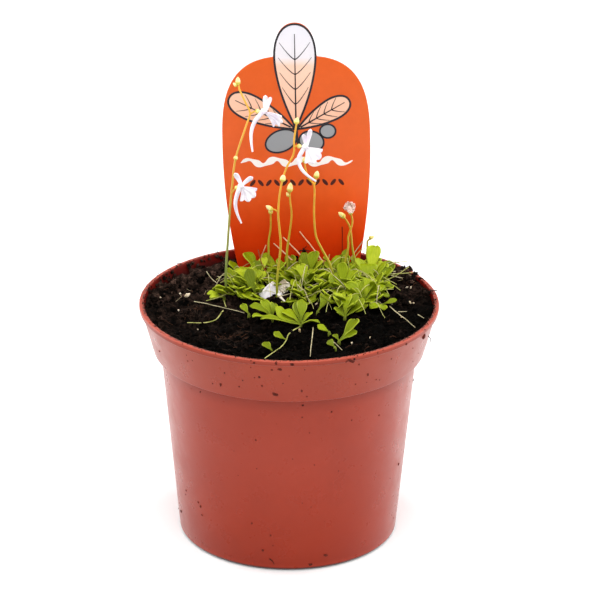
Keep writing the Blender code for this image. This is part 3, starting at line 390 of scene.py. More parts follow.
# Colours by height: painted shade where the foot meets the floor, with a thin painted highlight
# just above it; the body a little darker towards the foot; painted shadow under the collar's step;
# painted shade on the lip's lower edge and a painted highlight along its top.
heights = banded(tree, 0.0, POT_HEIGHT, (
    (0.0, 40, 14, 10), (0.8, 80, 25, 13), (1.3, 158, 47, 21), (2.4, 144, 40, 12),
    (12.0, 147, 42, 13), (40.0, 152, 52, 32), (COLLAR_FOOT_Z - 5.0, 151, 51, 30),
    (COLLAR_FOOT_Z - 1.5, 139, 46, 28), (COLLAR_FOOT_Z + 0.4, 150, 51, 27),
    (pot_lip_foot - 0.3, 150, 55, 31), (pot_lip_foot + 0.2, 136, 48, 29),
    (POT_HEIGHT - 0.35, 152, 60, 42), (POT_HEIGHT, 180, 80, 61),
))
clouding = mottled(tree, 45.0, (0.90, 0.88, 0.88, 1.0), WHITE)
clouded = multiplied(tree, heights, clouding.outputs["Colour"])
place = put(tree, "SeparateXYZ")
tree.links.new(put(tree, "TexCoord").outputs["Object"], place.inputs[0])
level = put(tree, "CombineXYZ")
for axis in ("X", "Y"):
    tree.links.new(place.outputs[axis], level.inputs[axis])
from_middle = put(tree, "VectorMath", operation="LENGTH")
tree.links.new(level.outputs[0], from_middle.inputs[0])
soiled = mottled(tree, 900.0, BLACK, WHITE, 0.42, 0.6).outputs["Share"]
for value, start, end in (
    (from_middle.outputs["Value"], GRIME_EDGE, GRIME_EDGE - GRIME_FADE),
    (place.outputs["Z"], POT_HEIGHT - GRIME_FADE, POT_HEIGHT),
):
    near = put(tree, "MapRange", {"From Min": start * MM, "From Max": end * MM})
    tree.links.new(value, near.inputs["Value"])
    both = put(tree, "Math", operation="MULTIPLY")
    wire(tree, (near.outputs[0], both.inputs[0]), (soiled, both.inputs[1]))
    soiled = both.outputs[0]
coloured(tree, shader, blended(tree, soiled, clouded, paint(58, 24, 16)))
handling = mottled(tree, 160.0, (0.26, 0.26, 0.26, 1.0), (0.38, 0.38, 0.38, 1.0))
tree.links.new(handling.outputs["Colour"], shader.inputs["Roughness"])
orange_peel = mottled(tree, 900.0, BLACK, WHITE, 0.3, 0.7)
bumped(tree, shader, orange_peel.outputs["Share"], ORANGE_PEEL)
pot_shell.data.materials.append(pot_plastic)
# Inside the wall: darker than the outside all over, as painted shade, and darker still down to the
# soil line, partly painted shade and partly a stain from the damp peat; damp patches vary it.
shaded_and_stained_plastic, tree, shader = new_finish("shaded_and_stained_plastic", 0.45, 0.15)
stain_and_shade = banded(tree, SOIL_LINE - 3.0, POT_HEIGHT, (
    (SOIL_LINE - 3.0, 24, 9, 6), (SOIL_LINE, 44, 13, 8), (SOIL_LINE + 1.6, 84, 8, 3),
    (POT_HEIGHT, 116, 18, 7),
))
damp_patches = mottled(tree, 260.0, (0.5, 0.42, 0.4, 1.0), WHITE)
coloured(tree, shader, multiplied(tree, stain_and_shade, damp_patches.outputs["Colour"]))
pot_shell.data.materials.append(shaded_and_stained_plastic)
for face in pot_shell.data.polygons:
    outward = Vector((face.center.x, face.center.y, 0.0))
    inward = face.normal.dot(outward) < -INWARD_SHARE * outward.length
    if inward and face.center.z > FLOOR_TOP_Z * MM:
        face.material_index = 1
pick(pot_shell)
bpy.ops.object.shade_smooth_by_angle(angle=math.radians(SMOOTH_ANGLE))
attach(pot_shell, "root")
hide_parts("pot")

# Soil: moist black peat that fills the pot to its lip, crumbly on top, banked up against the wall
# save at the back left. Crumbs, fibres and pale bits of husk lie loose on it, and more crumbs
# cling to the bare wall and the lip.
SOIL_LEVEL = 70.7
SOIL_SLOPE_X = 0.03
# Mounds are (x, y, height, reach), waves (height, rate in x, rate in y, phase), and the bank
# against the wall (bearing, height).
SOIL_MOUNDS = (
    (2.0, 31.0, 1.2, 9.0),
    (29.0, 27.0, 1.3, 6.0),
    (-24.0, 24.0, -0.8, 9.0),
    (10.0, -34.0, 0.7, 10.0),
)
SOIL_WAVES = ((0.40, 0.47, 0.31, 0.0), (0.30, -0.38, 0.55, 1.3), (0.22, 0.83, -0.64, 2.1))
BANK_FOOT = 30.0
BANK_LEVELS = (
    (-180, 72.5), (-135, 72.3), (-90, 71.9), (-45, 72.2), (0, 72.8), (40, 72.9), (75, 71.0),
    (125, 71.3), (148, 71.1), (168, 72.5), (180, 72.7),
)
BANK_TOP = 73.2
SOIL_RING_STEP = 0.45
SOIL_STEPS = 400
SOIL_WALL_GAP = 0.05
SOIL_SETTLE = 0.3
# Swells and lumps are (size, height), and the dry patch (x, y, reach, share).
SOIL_SWELLS = ((4.5, 1.2), (0.7, 0.3))
LUMP_SIZES = ((2.4, 0.95), (1.1, 0.5))
LUMP_REACH = 0.75
LUMP_TOP = 0.45
LUMP_ROUNDING = 4.0
PATCH_SIZE = 6.0
DRY_PATCH = (36.0, 13.0, 6.5, 0.5)
CRUMB_SEED = 21
SMALL_CRUMB_SEEDS = (0.0, 5.3, 9.1)
LARGE_CRUMB_SEEDS = (2.2, 7.7)
# Kinds of crumbs are (count, first pattern, patterns, least and greatest radius), crumbs at the
# rim (x, y, z, radius), pale bits (x, y, radius) and mats of fibre (x, y, reach, count).
CRUMB_KINDS = (
    (2300, 0, 3, 0.14, 0.5),
    (700, 3, 2, 0.35, 0.9),
    (150, 3, 2, 0.8, 1.4),
)
RIM_CRUMBS = (
    (34.8, 26.3, 73.6, 1.5), (36.6, 25.2, 73.8, 1.3), (33.4, 26.0, 73.2, 1.4),
    (38.6, 21.6, 73.7, 0.9), (39.8, 18.4, 73.6, 0.8), (41.0, 8.6, 73.4, 1.0),
    (42.0, 7.2, 73.9, 0.8), (40.9, 10.4, 73.2, 0.9), (-42.6, 8.8, 73.2, 0.35),
    (-41.9, 11.6, 73.3, 0.4), (-37.4, 21.6, 73.4, 0.35), (-31.0, 30.4, 73.3, 0.3),
    (3.0, 30.4, 73.8, 1.1), (5.2, 30.6, 75.6, 1.0), (6.4, 30.7, 74.4, 0.8), (4.4, 30.9, 77.2, 0.7),
    (2.2, 30.9, 75.4, 0.6), (42.4, -13.6, 73.2, 0.6), (19.0, -40.6, 73.0, 0.5),
)
WALL_CLUMPS = 64
WALL_CLUMP_BEARINGS = (96.0, 172.0)
WALL_CLUMP_HEIGHTS = (70.9, 73.1)
WALL_CLUMP_SIZES = (0.2, 0.75)
LIP_GRIME = 520
LIP_GRIME_SIZES = (0.08, 0.3)
CLUMP_AT = (36.4, 22.4, 73.0)
CLUMP_REACH = (2.4, 2.6, 0.55)
CLUMP_CRUMBS = 60
CLUMP_SIZES = (0.4, 1.25)
PALE_BITS = (
    (-30.9, 10.9, 0.95), (-33.2, 14.0, 0.4), (-36.8, 28.2, 0.3), (35.7, 13.7, 0.42),
    (36.9, 13.9, 0.38), (36.4, 3.6, 0.5), (37.4, 3.0, 0.35), (-39.0, 6.9, 0.35), (-33.3, 1.6, 0.45),
    (28.6, 6.4, 0.3), (31.0, 6.6, 0.45), (-20.0, -6.0, 0.3), (12.6, -4.6, 0.35), (8.2, 5.0, 0.4),
    (3.2, -15.2, 0.55), (33.6, -8.0, 0.3), (-27.0, -14.0, 0.3), (24.0, -20.0, 0.3),
    (18.6, -26.0, 0.5),
)
FIBRE_COUNTS = {"fibre_dark": 170, "fibre_rust": 44, "fibre_pale": 10}
FIBRE_SHARE = 0.3
FIBRE_LENGTH = (1.6, 5.5)
FIBRE_RADIUS = (0.05, 0.10)
FIBRE_STEPS = 5
FIBRE_MATS = {
    "fibre_dark": ((-16.5, -18.5, 7.0, 60), (-29.0, 1.0, 5.0, 40)),
    "fibre_rust": ((-16.5, -19.5, 7.0, 20), (-29.8, 0.6, 4.0, 10), (38.6, 19.6, 2.4, 34)),
    "fibre_pale": ((39.4, 19.0, 1.6, 7),),
}


def soil_z(x, y):
    """The soil's height at a place, before its crumbs."""
    z = SOIL_LEVEL + SOIL_SLOPE_X * x
    for mound_x, mound_y, mound_rise, reach in SOIL_MOUNDS:
        away = (x - mound_x) ** 2 + (y - mound_y) ** 2
        z = z + mound_rise * np.exp(-away / (2 * reach**2))
    for height, along_x, along_y, phase in SOIL_WAVES:
        z = z + height * np.sin(along_x * x + along_y * y + phase)
    return z


def above(x, y, height):
    """A point so far over the soil."""
    return x, y, float(soil_z(x, y)) + height


def crumbled_z(x, y):
    """The soil's height at a place, with its lumps and its bank against the wall."""
    place = Vector((x, y, 0.0))
    rough = sum(noise.noise(place / size) * height for size, height in SOIL_SWELLS)
    patchy = 0.7 + 0.6 * noise.noise(place / PATCH_SIZE + Vector((7.0, 0.0, 3.0)))
    for size, height in LUMP_SIZES:
        near = noise.voronoi(place / size, distance_metric="DISTANCE")[0][0]
        rough += (math.sqrt(max(0.0, 1.0 - (near / LUMP_REACH) ** 2)) - 0.5) * height * patchy
    over = math.log1p(math.exp((LUMP_TOP - rough) * LUMP_ROUNDING)) / LUMP_ROUNDING
    rough = LUMP_TOP - over
    away = math.hypot(x, y)
    bank = max(0.0, min(1.0, (away - BANK_FOOT) / (soil_edge - BANK_FOOT))) ** 2
    level = float(np.interp(math.degrees(math.atan2(y, x)), *zip(*BANK_LEVELS)))
    height = float(soil_z(x, y)) * (1 - bank) + level * bank - SOIL_SETTLE + rough
    return min(BANK_TOP, height)


def brown_share(x, y):
    """How brown and light the peat is: most at the back left, least at the front right."""
    patch_x, patch_y, reach, share = DRY_PATCH
    patch = share * math.exp(-((x - patch_x) ** 2 + (y - patch_y) ** 2) / (2 * reach**2))
    return min(1.0, max(0.0, (y - 0.5 * x + 14.0) / 56.0)) ** 1.5 + patch


soil_edge = inner_radius(SOIL_LEVEL) - SOIL_WALL_GAP
ring_count = round(soil_edge / SOIL_RING_STEP)
soil_profile = [(soil_edge * ring / ring_count, SOIL_LEVEL) for ring in range(ring_count + 1)]
soil_profile += [
    (inner_radius(INNER_STEP_Z) - SOIL_WALL_GAP, INNER_STEP_Z + SOIL_WALL_GAP),
    (BODY_TOP_RADIUS - WALL - SOIL_WALL_GAP, INNER_STEP_Z + SOIL_WALL_GAP),
    (BODY_FOOT_RADIUS - WALL - SOIL_WALL_GAP, FLOOR_TOP_Z + SOIL_WALL_GAP),
    (0.0, FLOOR_TOP_Z + SOIL_WALL_GAP),
]
peat_bed = turned("peat_bed", soil_profile, SOIL_STEPS)
bed_tints = []
for vertex in peat_bed.data.vertices:
    x, y, z = vertex.co / MM
    bed_tints.append(brown_share(x, y) * (0.3 + 0.6 * noise.noise(Vector((x, y, 9.0)) / 2.4)))
    if z > SOIL_LEVEL - 0.1:
        height = crumbled_z(x, y)
        if math.hypot(x, y) > soil_edge - 0.1:
            fitted = (inner_radius(min(height, pot_lip_foot)) - SOIL_WALL_GAP) / math.hypot(x, y)
            x, y = x * fitted, y * fitted
        vertex.co = (x * MM, y * MM, height * MM)


def marked(piece, values):
    """Stores named numbers on the points of a piece, for its material to read."""
    for label, numbers in values.items():
        piece.data.attributes.new(label, "FLOAT", "POINT").data.foreach_set("value", numbers)


marked(peat_bed, {"tint": bed_tints})


def pattern(piece):
    """Reads a modelled piece as points in millimetres and faces, and removes it."""
    mesh = piece.data
    points = np.empty(len(mesh.vertices) * 3)
    mesh.vertices.foreach_get("co", points)
    faces = [tuple(face.vertices) for face in mesh.polygons]
    bpy.data.objects.remove(piece, do_unlink=True)
    return points.reshape(-1, 3) / MM, faces


def gathered(name, parts):
    """One piece from several parts, each its points and its faces."""
    points, faces, start = [], [], 0
    for part_points, part_faces in parts:
        points.append(part_points)
        faces += [tuple(start + corner for corner in face) for face in part_faces]
        start += len(part_points)
    return new_piece(name, np.concatenate(points), faces)


def strewn(name, patterns, places, tints=None):
    """One piece made of copies of the patterns, each (which, point, size as x y z, turn)."""
    piece = gathered(name, [
        ((patterns[which][0] * size) @ np.array(turn).T + place, patterns[which][1])
        for which, place, size, turn in places
    ])
    if tints:
        counts = [len(patterns[which][0]) for which, *_ in places]
        marked(piece, {"tint": np.repeat(tints, counts)})
    return piece


def crumb_pattern(subdivisions, seed):
    """A rough lump one millimetre across its radius."""
    bpy.ops.object.select_all(action="DESELECT")
    bpy.ops.mesh.primitive_ico_sphere_add(subdivisions=subdivisions, radius=MM)
    lump = bpy.context.object
    for vertex in lump.data.vertices:
        place = vertex.co / MM
        vertex.co *= 1.0 + 0.6 * noise.noise(place * 1.7 + Vector((seed, 0.0, 0.0)))
    return pattern(lump)


crumbs = [crumb_pattern(1, seed) for seed in SMALL_CRUMB_SEEDS]
crumbs += [crumb_pattern(2, seed) for seed in LARGE_CRUMB_SEEDS]


def any_turn(draw):
    return Euler([draw.uniform(0.0, math.tau) for _ in range(3)]).to_matrix()


def any_large(draw):
    """Which of the rounder patterns a large crumb takes."""
    return len(SMALL_CRUMB_SEEDS) + draw.randrange(len(LARGE_CRUMB_SEEDS))


def on_soil(draw, margin=0.8):
    """A random place on the soil, evenly spread."""
    reach = (soil_edge - margin) * math.sqrt(draw.random())
    bearing = draw.uniform(0.0, math.tau)
    return reach * math.cos(bearing), reach * math.sin(bearing)


draw = random.Random(CRUMB_SEED)
places, tints = [], []
for count, first_kind, kinds, smallest, largest in CRUMB_KINDS:
    for _ in range(count):
        x, y = on_soil(draw, largest)
        radius = smallest + (largest - smallest) * draw.random() ** 2
        size = [radius * draw.uniform(0.65, 1.3) for _ in range(3)]
        place = (x, y, crumbled_z(x, y) + 0.2 * radius)
        places.append((first_kind + draw.randrange(kinds), place, size, any_turn(draw)))
        tints.append(draw.random() ** 2.5 * (0.08 + brown_share(x, y)))
for x, y, z, radius in RIM_CRUMBS:
    size = [radius * draw.uniform(0.6, 1.0) for _ in range(3)]
    places.append((any_large(draw), (x, y, z), size, any_turn(draw)))
    tints.append(draw.uniform(0.0, 0.4))
for _ in range(WALL_CLUMPS):
    bearing = math.radians(draw.uniform(*WALL_CLUMP_BEARINGS))
    low, high = WALL_CLUMP_HEIGHTS
    z, radius = low + (high - low) * draw.random() ** 1.3, draw.uniform(*WALL_CLUMP_SIZES)
    reach = inner_radius(z) - 0.3 * radius
    size = [radius * draw.uniform(0.6, 1.2) for _ in range(3)]
    place = (reach * math.cos(bearing), reach * math.sin(bearing), z)
    places.append((any_large(draw), place, size, any_turn(draw)))
    tints.append(draw.uniform(0.05, 0.5))
for _ in range(LIP_GRIME):
    bearing = math.radians(draw.uniform(0.0, 360.0))
    reach = inner_radius(pot_lip_foot) + abs(draw.gauss(0.0, 0.7))
    radius = draw.uniform(*LIP_GRIME_SIZES)
    place = (reach * math.cos(bearing), reach * math.sin(bearing), POT_HEIGHT)
    places.append((draw.randrange(3), place, (radius, radius, radius * 0.5), any_turn(draw)))
    tints.append(draw.uniform(0.1, 0.9))
for _ in range(CLUMP_CRUMBS):
    place = tuple(draw.gauss(middle, reach) for middle, reach in zip(CLUMP_AT, CLUMP_REACH))
    radius = draw.uniform(*CLUMP_SIZES)
    if math.hypot(*place[:2]) < RIM_RADIUS - radius:
        size = [radius * draw.uniform(0.6, 1.1) for _ in range(3)]
        places.append((any_large(draw), place, size, any_turn(draw)))
        tints.append(draw.uniform(0.1, 1.0))
loose_crumbs = strewn("loose_crumbs", crumbs, places, tints)


def ranged(tree, value, low, high, to_low=0.0, to_high=1.0):
    """A value eased from one range to another."""
    made = put(tree, "MapRange", {"From Min": low, "From Max": high, "To Min": to_low,
                                  "To Max": to_high}, interpolation_type="SMOOTHSTEP")
    tree.links.new(value, made.inputs["Value"])
    return made.outputs[0]


def read_off(tree, label):
    """A number stored on the points of a piece."""
    return put(tree, "Attribute", attribute_name=label).outputs["Fac"]


peat, tree, shader = new_finish("peat", 0.85, 0.03)
browning = blended(tree, read_off(tree, "tint"), paint(7, 5, 3), paint(112, 86, 74))
grains = mottled(tree, 1000.0, (0.2, 0.2, 0.2, 1.0), (1.5, 1.5, 1.5, 1.0), 0.42, 0.7)
coloured(tree, shader, multiplied(tree, browning, grains.outputs["Colour"]))
damp = mottled(tree, 700.0, (0.5, 0.5, 0.5, 1.0), (0.95, 0.95, 0.95, 1.0), 0.3, 0.55)
tree.links.new(damp.outputs["Colour"], shader.inputs["Roughness"])
bumped(tree, shader, mottled(tree, 2200.0, BLACK, WHITE).outputs["Share"], 0.35)
for piece in (peat_bed, loose_crumbs):
    piece.data.materials.append(peat)
    piece.data.shade_flat()
    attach(piece, "root")
peat_bed.data.shade_smooth()
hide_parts("soil")

husk = mottled_finish("husk", 0.7, 0.2, 500.0, (186, 160, 112), (240, 226, 204))
places = []
for x, y, radius in PALE_BITS:
    place = (x, y, crumbled_z(x, y) + 0.5 * radius + 0.2)
    size = (radius * draw.uniform(0.8, 1.2), radius * 0.7, radius * 0.6)
    places.append((3, place, size, any_turn(draw)))
pale_bits = strewn("pale_bits", crumbs, places)
pale_bits.data.materials.append(husk)
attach(pale_bits, "root")


def rods(name, runs, round_steps=2):
    """Stalks as one bevelled curve made a mesh; each run is its points and their radii."""
    curve = bpy.data.curves.new(name, "CURVE")
    curve.dimensions = "3D"
    curve.bevel_depth = MM
    curve.bevel_resolution = round_steps
    curve.use_fill_caps = True
    for path, radii in runs:
        line = curve.splines.new("POLY")
        line.points.add(len(path) - 1)
        for point, place, radius in zip(line.points, path, radii):
            point.co = (*[c * MM for c in place], 1.0)
            point.radius = radius
    piece = bpy.data.objects.new(name, curve)
    bpy.context.scene.collection.objects.link(piece)
    pick(piece)
    bpy.ops.object.convert(target="MESH")
    piece = bpy.context.object
    piece.data.shade_smooth()
    return piece


def lying_fibre(draw, x, y, length, radius):
    """A bent fibre that lies on the crumbs."""
    heading, curl = draw.uniform(0.0, math.tau), draw.uniform(-0.5, 0.5)
    path = []
    for _ in range(FIBRE_STEPS + 1):
        if math.hypot(x, y) < RIM_RADIUS - LIP_WIDTH - WALL:
            path.append((x, y, crumbled_z(x, y) + draw.uniform(0.15, 0.75)))
        x += length / FIBRE_STEPS * math.cos(heading)
        y += length / FIBRE_STEPS * math.sin(heading)
        heading += curl
    return path, [radius * (1.0 - 0.12 * index) for index in range(len(path))]


for name, colours in {
    "fibre_dark": ((24, 17, 12), (58, 40, 29)),
    "fibre_rust": ((50, 29, 18), (96, 60, 40)),
    "fibre_pale": ((140, 118, 84), (204, 188, 152)),
}.items():
    starts = [on_soil(draw, 3.0) for _ in range(FIBRE_COUNTS[name])]
    starts = [(x, y) for x, y in starts if draw.random() < FIBRE_SHARE + brown_share(x, y)]
    for x, y, reach, count in FIBRE_MATS[name]:
        starts += [(draw.gauss(x, reach / 2), draw.gauss(y, reach / 2)) for _ in range(count)]
    runs = []
    for x, y in starts:
        length, radius = draw.uniform(*FIBRE_LENGTH), draw.uniform(*FIBRE_RADIUS)
        path, radii = lying_fibre(draw, x, y, length, radius)
        if len(path) > 2:
            runs.append((path, radii))
    piece = rods(name, runs, 0)
    piece.data.materials.append(mottled_finish(name, 0.75, 0.15, 400.0, *colours))
    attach(piece, "root")

# Label: one sheet of glossy plastic, die-cut to a round-shouldered card on a pointed stake. The
# top leaf of the printed sprig is cut out with it and stands over the card's top edge.
LABEL_Y = 32.0
LABEL_THICKNESS = 0.8
LABEL_LEAN = math.radians(-1.3)
LABEL_PIVOT = (2.7, 72.0)
CARD_WIDEST_Z = 112.0
CARD_HALF_WIDTH = 22.5
CARD_TOP_Z = 140.5
CARD_ROUNDNESS = 3.0
CARD_TAPER = 0.00245
STAKE_SHOULDER_Z = (67.0, 52.0)
STAKE_HALF_WIDTH = (5.5, 4.5)
STAKE_POINT_Z = (36.0, 28.0)
CARD_EDGE_BREAK = 0.12
CARD_EDGE_ANGLE = 60
CARD_SMOOTH_ANGLE = 30
CARD_STEP = 1.5
SPRIG_FOOT_Z = 117.0
SPRIG_LEAF_LENGTH = 34.0
SPRIG_LEAF_SPREAD = 24.0
SPRIG_LEAF_FULLNESS = 2.2
SPRIG_LEAF_BLUNTNESS = 0.7


def card_half_width(z):
    if z >= CARD_WIDEST_Z:
        share = min(1.0, (z - CARD_WIDEST_Z) / (CARD_TOP_Z - CARD_WIDEST_Z))
        return CARD_HALF_WIDTH * (1 - share**CARD_ROUNDNESS) ** (1 / CARD_ROUNDNESS)
    shoulder, stake_top = STAKE_SHOULDER_Z
    if z >= shoulder:
        return CARD_HALF_WIDTH - CARD_TAPER * (CARD_WIDEST_Z - z) ** 2
    wide, narrow = STAKE_HALF_WIDTH
    if z >= stake_top:
        share = (z - stake_top) / (shoulder - stake_top)
        return wide + (card_half_width(shoulder) - wide) * share**1.5
    point, tip = STAKE_POINT_Z
    if z >= point:
        return narrow + (wide - narrow) * (z - point) / (stake_top - point)
    return max(0.4, narrow * (z - tip) / (point - tip))


def sprig_radius(off_middle, length=SPRIG_LEAF_LENGTH, spread=SPRIG_LEAF_SPREAD):
    """How far a printed leaf reaches from its foot, so many degrees off its own middle."""
    off = min(1.0, abs(off_middle) / spread)
    return length * (1.0 - off**SPRIG_LEAF_FULLNESS) ** SPRIG_LEAF_BLUNTNESS


def card_radius(angle):
    """The card's edge from the sprig's foot at an angle in degrees."""
    near, far = 0.0, 60.0
    for _ in range(30):
        middle = (near + far) / 2
        x = middle * math.cos(math.radians(angle))
        z = SPRIG_FOOT_Z + middle * math.sin(math.radians(angle))
        inside = z < CARD_TOP_Z and abs(x) < card_half_width(z)
        near, far = (middle, far) if inside else (near, middle)
    return near


def label_place(x, z):
    """Turns a point on the card about its pivot, by the card's slight lean."""
    pivot_x, pivot_z = LABEL_PIVOT
    away = z - pivot_z
    cos_lean, sin_lean = math.cos(LABEL_LEAN), math.sin(LABEL_LEAN)
    return pivot_x + x * cos_lean + away * sin_lean, pivot_z - x * sin_lean + away * cos_lean


card_shoulder, stake_top = STAKE_SHOULDER_Z
stake_point, stake_tip = STAKE_POINT_Z
right_edge = [(card_half_width(z), z) for z in (stake_tip, stake_point, stake_top)]
stake_levels = np.arange(stake_top + CARD_STEP, card_shoulder, CARD_STEP)
right_edge += [(card_half_width(z), z) for z in stake_levels]
right_edge += [(card_half_width(z), z) for z in np.linspace(card_shoulder, CARD_WIDEST_Z, 26)]
card_edge = list(right_edge)
for angle in range(0, 181):
    reach = max(card_radius(angle), sprig_radius(angle - 90.0))
    turn = math.radians(angle)
    card_edge.append((reach * math.cos(turn), SPRIG_FOOT_Z + reach * math.sin(turn)))
card_edge += [(-x, z) for x, z in reversed(right_edge)]

bpy.ops.object.select_all(action="DESELECT")
bpy.ops.mesh.primitive_circle_add(vertices=len(card_edge), radius=MM, fill_type="NGON")
label_card = bpy.context.object
label_card.name = "label_card"
for vertex, (x, z) in zip(label_card.data.vertices, card_edge):
    x, z = label_place(x, z)
    vertex.co = (x * MM, (LABEL_Y - LABEL_THICKNESS / 2) * MM, z * MM)
bpy.ops.object.mode_set(mode="EDIT")
bpy.ops.mesh.select_all(action="SELECT")
bpy.ops.mesh.extrude_region_move(
    TRANSFORM_OT_translate={"value": (0.0, LABEL_THICKNESS * MM, 0.0)}
)
bpy.ops.mesh.select_all(action="SELECT")
bpy.ops.mesh.normals_make_consistent(inside=False)
bpy.ops.object.mode_set(mode="OBJECT")
apply_modifier(
    label_card, "BEVEL", width=CARD_EDGE_BREAK * MM, segments=2,
    limit_method="ANGLE", angle_limit=math.radians(CARD_EDGE_ANGLE),
)

label_orange, tree, shader = new_finish("label_orange", 0.28, 0.2)
# The card's colour by height: its print fades from red low down to orange higher up. Low down it is
# also painted lighter, as painted light where the soil and plants shade the card; towards the top
# it is painted a little darker.
card_print_and_painted_fill = banded(tree, 66.0, CARD_TOP_Z, (
    (66.0, 228, 50, 6), (82.0, 232, 62, 10), (97.0, 236, 94, 32), (106.0, 228, 93, 32),
    (120.0, 221, 93, 33), (CARD_TOP_Z, 215, 90, 30),
))
ink_grain = mottled(tree, 300.0, (0.95, 0.93, 0.92, 1.0), WHITE)
coloured(tree, shader, multiplied(tree, card_print_and_painted_fill, ink_grain.outputs["Colour"]))
label_card.data.materials.append(label_orange)
pick(label_card)
bpy.ops.object.shade_smooth_by_angle(angle=math.radians(CARD_SMOOTH_ANGLE))
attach(label_card, "root")
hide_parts("label")

# Print on the label: a sprig of three pale leaves with dark veins over grey pods, a white brush
# stroke and a row of brown seeds, in five inks that lie on the card. Leaves are (lean, length,
# spread) and pods (x, z, half width, half height, lean).
INK_THICKNESS = 0.03
INK_LINE = 0.55
PRINTED_LEAVES = (
    (0.0, SPRIG_LEAF_LENGTH, SPRIG_LEAF_SPREAD),
    (62.0, 23.0, 23.0),
    (-60.0, 19.0, 24.0),
)
PODS = ((-4.6, 113.4, 5.0, 3.4, 25.0), (4.6, 113.2, 3.8, 3.2, -20.0), (9.6, 116.4, 2.4, 2.2, 0.0))
BRUSH_Z = 106.6
BRUSH_HALF_LENGTH = 17.0
SEED_ROW_Z = 99.8
SEED_COUNT = 12
SEED_ROW_HALF_LENGTH = 13.5
SEED_SIZE = (0.55, 1.25)
SEED_LEAN = 38.0
LEAF_INSET = 0.05
LEAF_EDGE_STEPS = 48
VEIN_STARTS = (0.24, 0.80, 0.14)
VEIN_REACH = 0.16


def ink_shape(outline, layer, side=-1.0):
    """A flat plate of ink from an outline on the card, a layer or more off the card's face."""
    near = LABEL_Y + side * (LABEL_THICKNESS / 2 + INK_THICKNESS * layer)
    far = near + side * INK_THICKNESS
    placed = [label_place(x, z) for x, z in outline]
    count = len(placed)
    points = [(x, far, z) for x, z in placed] + [(x, near, z) for x, z in placed]
    faces = [tuple(range(count)), tuple(reversed(range(count, 2 * count)))]
    for index in range(count):
        after = (index + 1) % count
        faces.append((after, index, index + count, after + count))
    return points, faces


def ink_line(path, widths):
    """The outline of a drawn line, which may be thick and thin."""
    path = np.array(path, float)
    ahead = np.gradient(path, axis=0)
    ahead /= np.linalg.norm(ahead, axis=1, keepdims=True)
    beside = np.stack([-ahead[:, 1], ahead[:, 0]], axis=1) * np.array(widths)[:, None] / 2
    return [*(path + beside), *(path - beside)[::-1]]


def ink_piece(name, shapes):
    """Several ink plates as one piece."""
    piece = gathered(name, shapes)
    bpy.ops.object.mode_set(mode="EDIT")
    bpy.ops.mesh.select_all(action="SELECT")
    bpy.ops.mesh.normals_make_consistent(inside=False)
    bpy.ops.object.mode_set(mode="OBJECT")
    return piece


def leaf_place(lean, along, off):
    """A point on a printed leaf: so far along its middle and so far off it."""
    turn = math.radians(90.0 + lean)
    x = along * math.cos(turn) - off * math.sin(turn)
    return x, SPRIG_FOOT_Z + along * math.sin(turn) + off * math.cos(turn)


def leaf_edge(lean, length, spread, inset=0.0):
    """The outline of a printed leaf, drawn in from its edge by the inset."""
    edge = []
    for step in range(-LEAF_EDGE_STEPS, LEAF_EDGE_STEPS + 1):
        off = spread * step / LEAF_EDGE_STEPS
        reach = max(0.0, sprig_radius(off, length, spread))
        edge.append(leaf_place(lean, reach * math.cos(math.radians(off)),
                               reach * math.sin(math.radians(off))))
    edge = np.array(edge)
    middle = np.array(leaf_place(lean, length * 0.55, 0.0))
    outward = edge - middle
    return edge - outward / np.linalg.norm(outward, axis=1, keepdims=True) * inset


def leaf_half_width(along, length, spread):
    """Half a printed leaf's width at a distance from its foot."""
    best = 0.0
    for step in range(1, 60):
        off = math.radians(spread * step / 60)
        if sprig_radius(math.degrees(off), length, spread) * math.cos(off) > along:
            best = along * math.tan(off)
    return best


def oval(x, z, wide, high, lean, steps):
    """The outline of a leaning oval."""
    turn = math.radians(lean)
    ring = []
    for step in range(steps):
        angle = math.tau * step / steps
        across, up = wide * math.cos(angle), high * math.sin(angle)
        ring.append((x + across * math.cos(turn) - up * math.sin(turn),
                     z + across * math.sin(turn) + up * math.cos(turn)))
    return ring


leaf_fills, dark_lines, white_lines, pod_fills, seed_shapes = [], [], [], [], []
for lean, length, spread in PRINTED_LEAVES:
    leaf_fills.append(ink_shape(leaf_edge(lean, length, spread, LEAF_INSET), 0))
    closed = list(leaf_edge(lean, length, spread, LEAF_INSET + INK_LINE / 2))
    dark_lines.append(ink_shape(ink_line(closed, [INK_LINE * 1.15] * len(closed)), 2))
    middle = [leaf_place(lean, length * share, 0.0) for share in np.linspace(0.08, 0.9, 12)]
    dark_lines.append(ink_shape(ink_line(middle, np.linspace(0.5, 0.22, 12)), 2))
    for start in np.arange(*VEIN_STARTS):
        for side in (-1, 1):
            tip = min(0.93, start + VEIN_REACH)
            wide = 0.78 * side * leaf_half_width(tip * length, length, spread)
            vein = [leaf_place(lean, length * (start + (tip - start) * share**1.3), wide * share)
                    for share in np.linspace(0.0, 1.0, 7)]
            dark_lines.append(ink_shape(ink_line(vein, np.linspace(0.34, 0.12, 7)), 2))
for pod in PODS:
    ring = oval(*pod, 36)
    pod_fills.append(ink_shape(ring, 1))
    closed = ring + ring[:1]
    dark_lines.append(ink_shape(ink_line(closed, [INK_LINE] * len(closed)), 3))
stalk = [(0.0, SPRIG_FOOT_Z + 2.0), (0.2, 114.0), (0.9, 111.6), (2.2, 110.2)]
dark_lines.append(ink_shape(ink_line(stalk, [0.9, 0.9, 0.7, 0.3]), 4))
brush = [(x, BRUSH_Z + 0.9 * math.sin(x * 0.75)) for x in
         np.linspace(-BRUSH_HALF_LENGTH, BRUSH_HALF_LENGTH, 90)]
brush_widths = [2.3 * max(0.12, 1 - abs(x / (BRUSH_HALF_LENGTH + 0.2)) ** 8)
                * (0.72 + 0.28 * math.sin(x * 1.5 + 0.6)) for x, _ in brush]
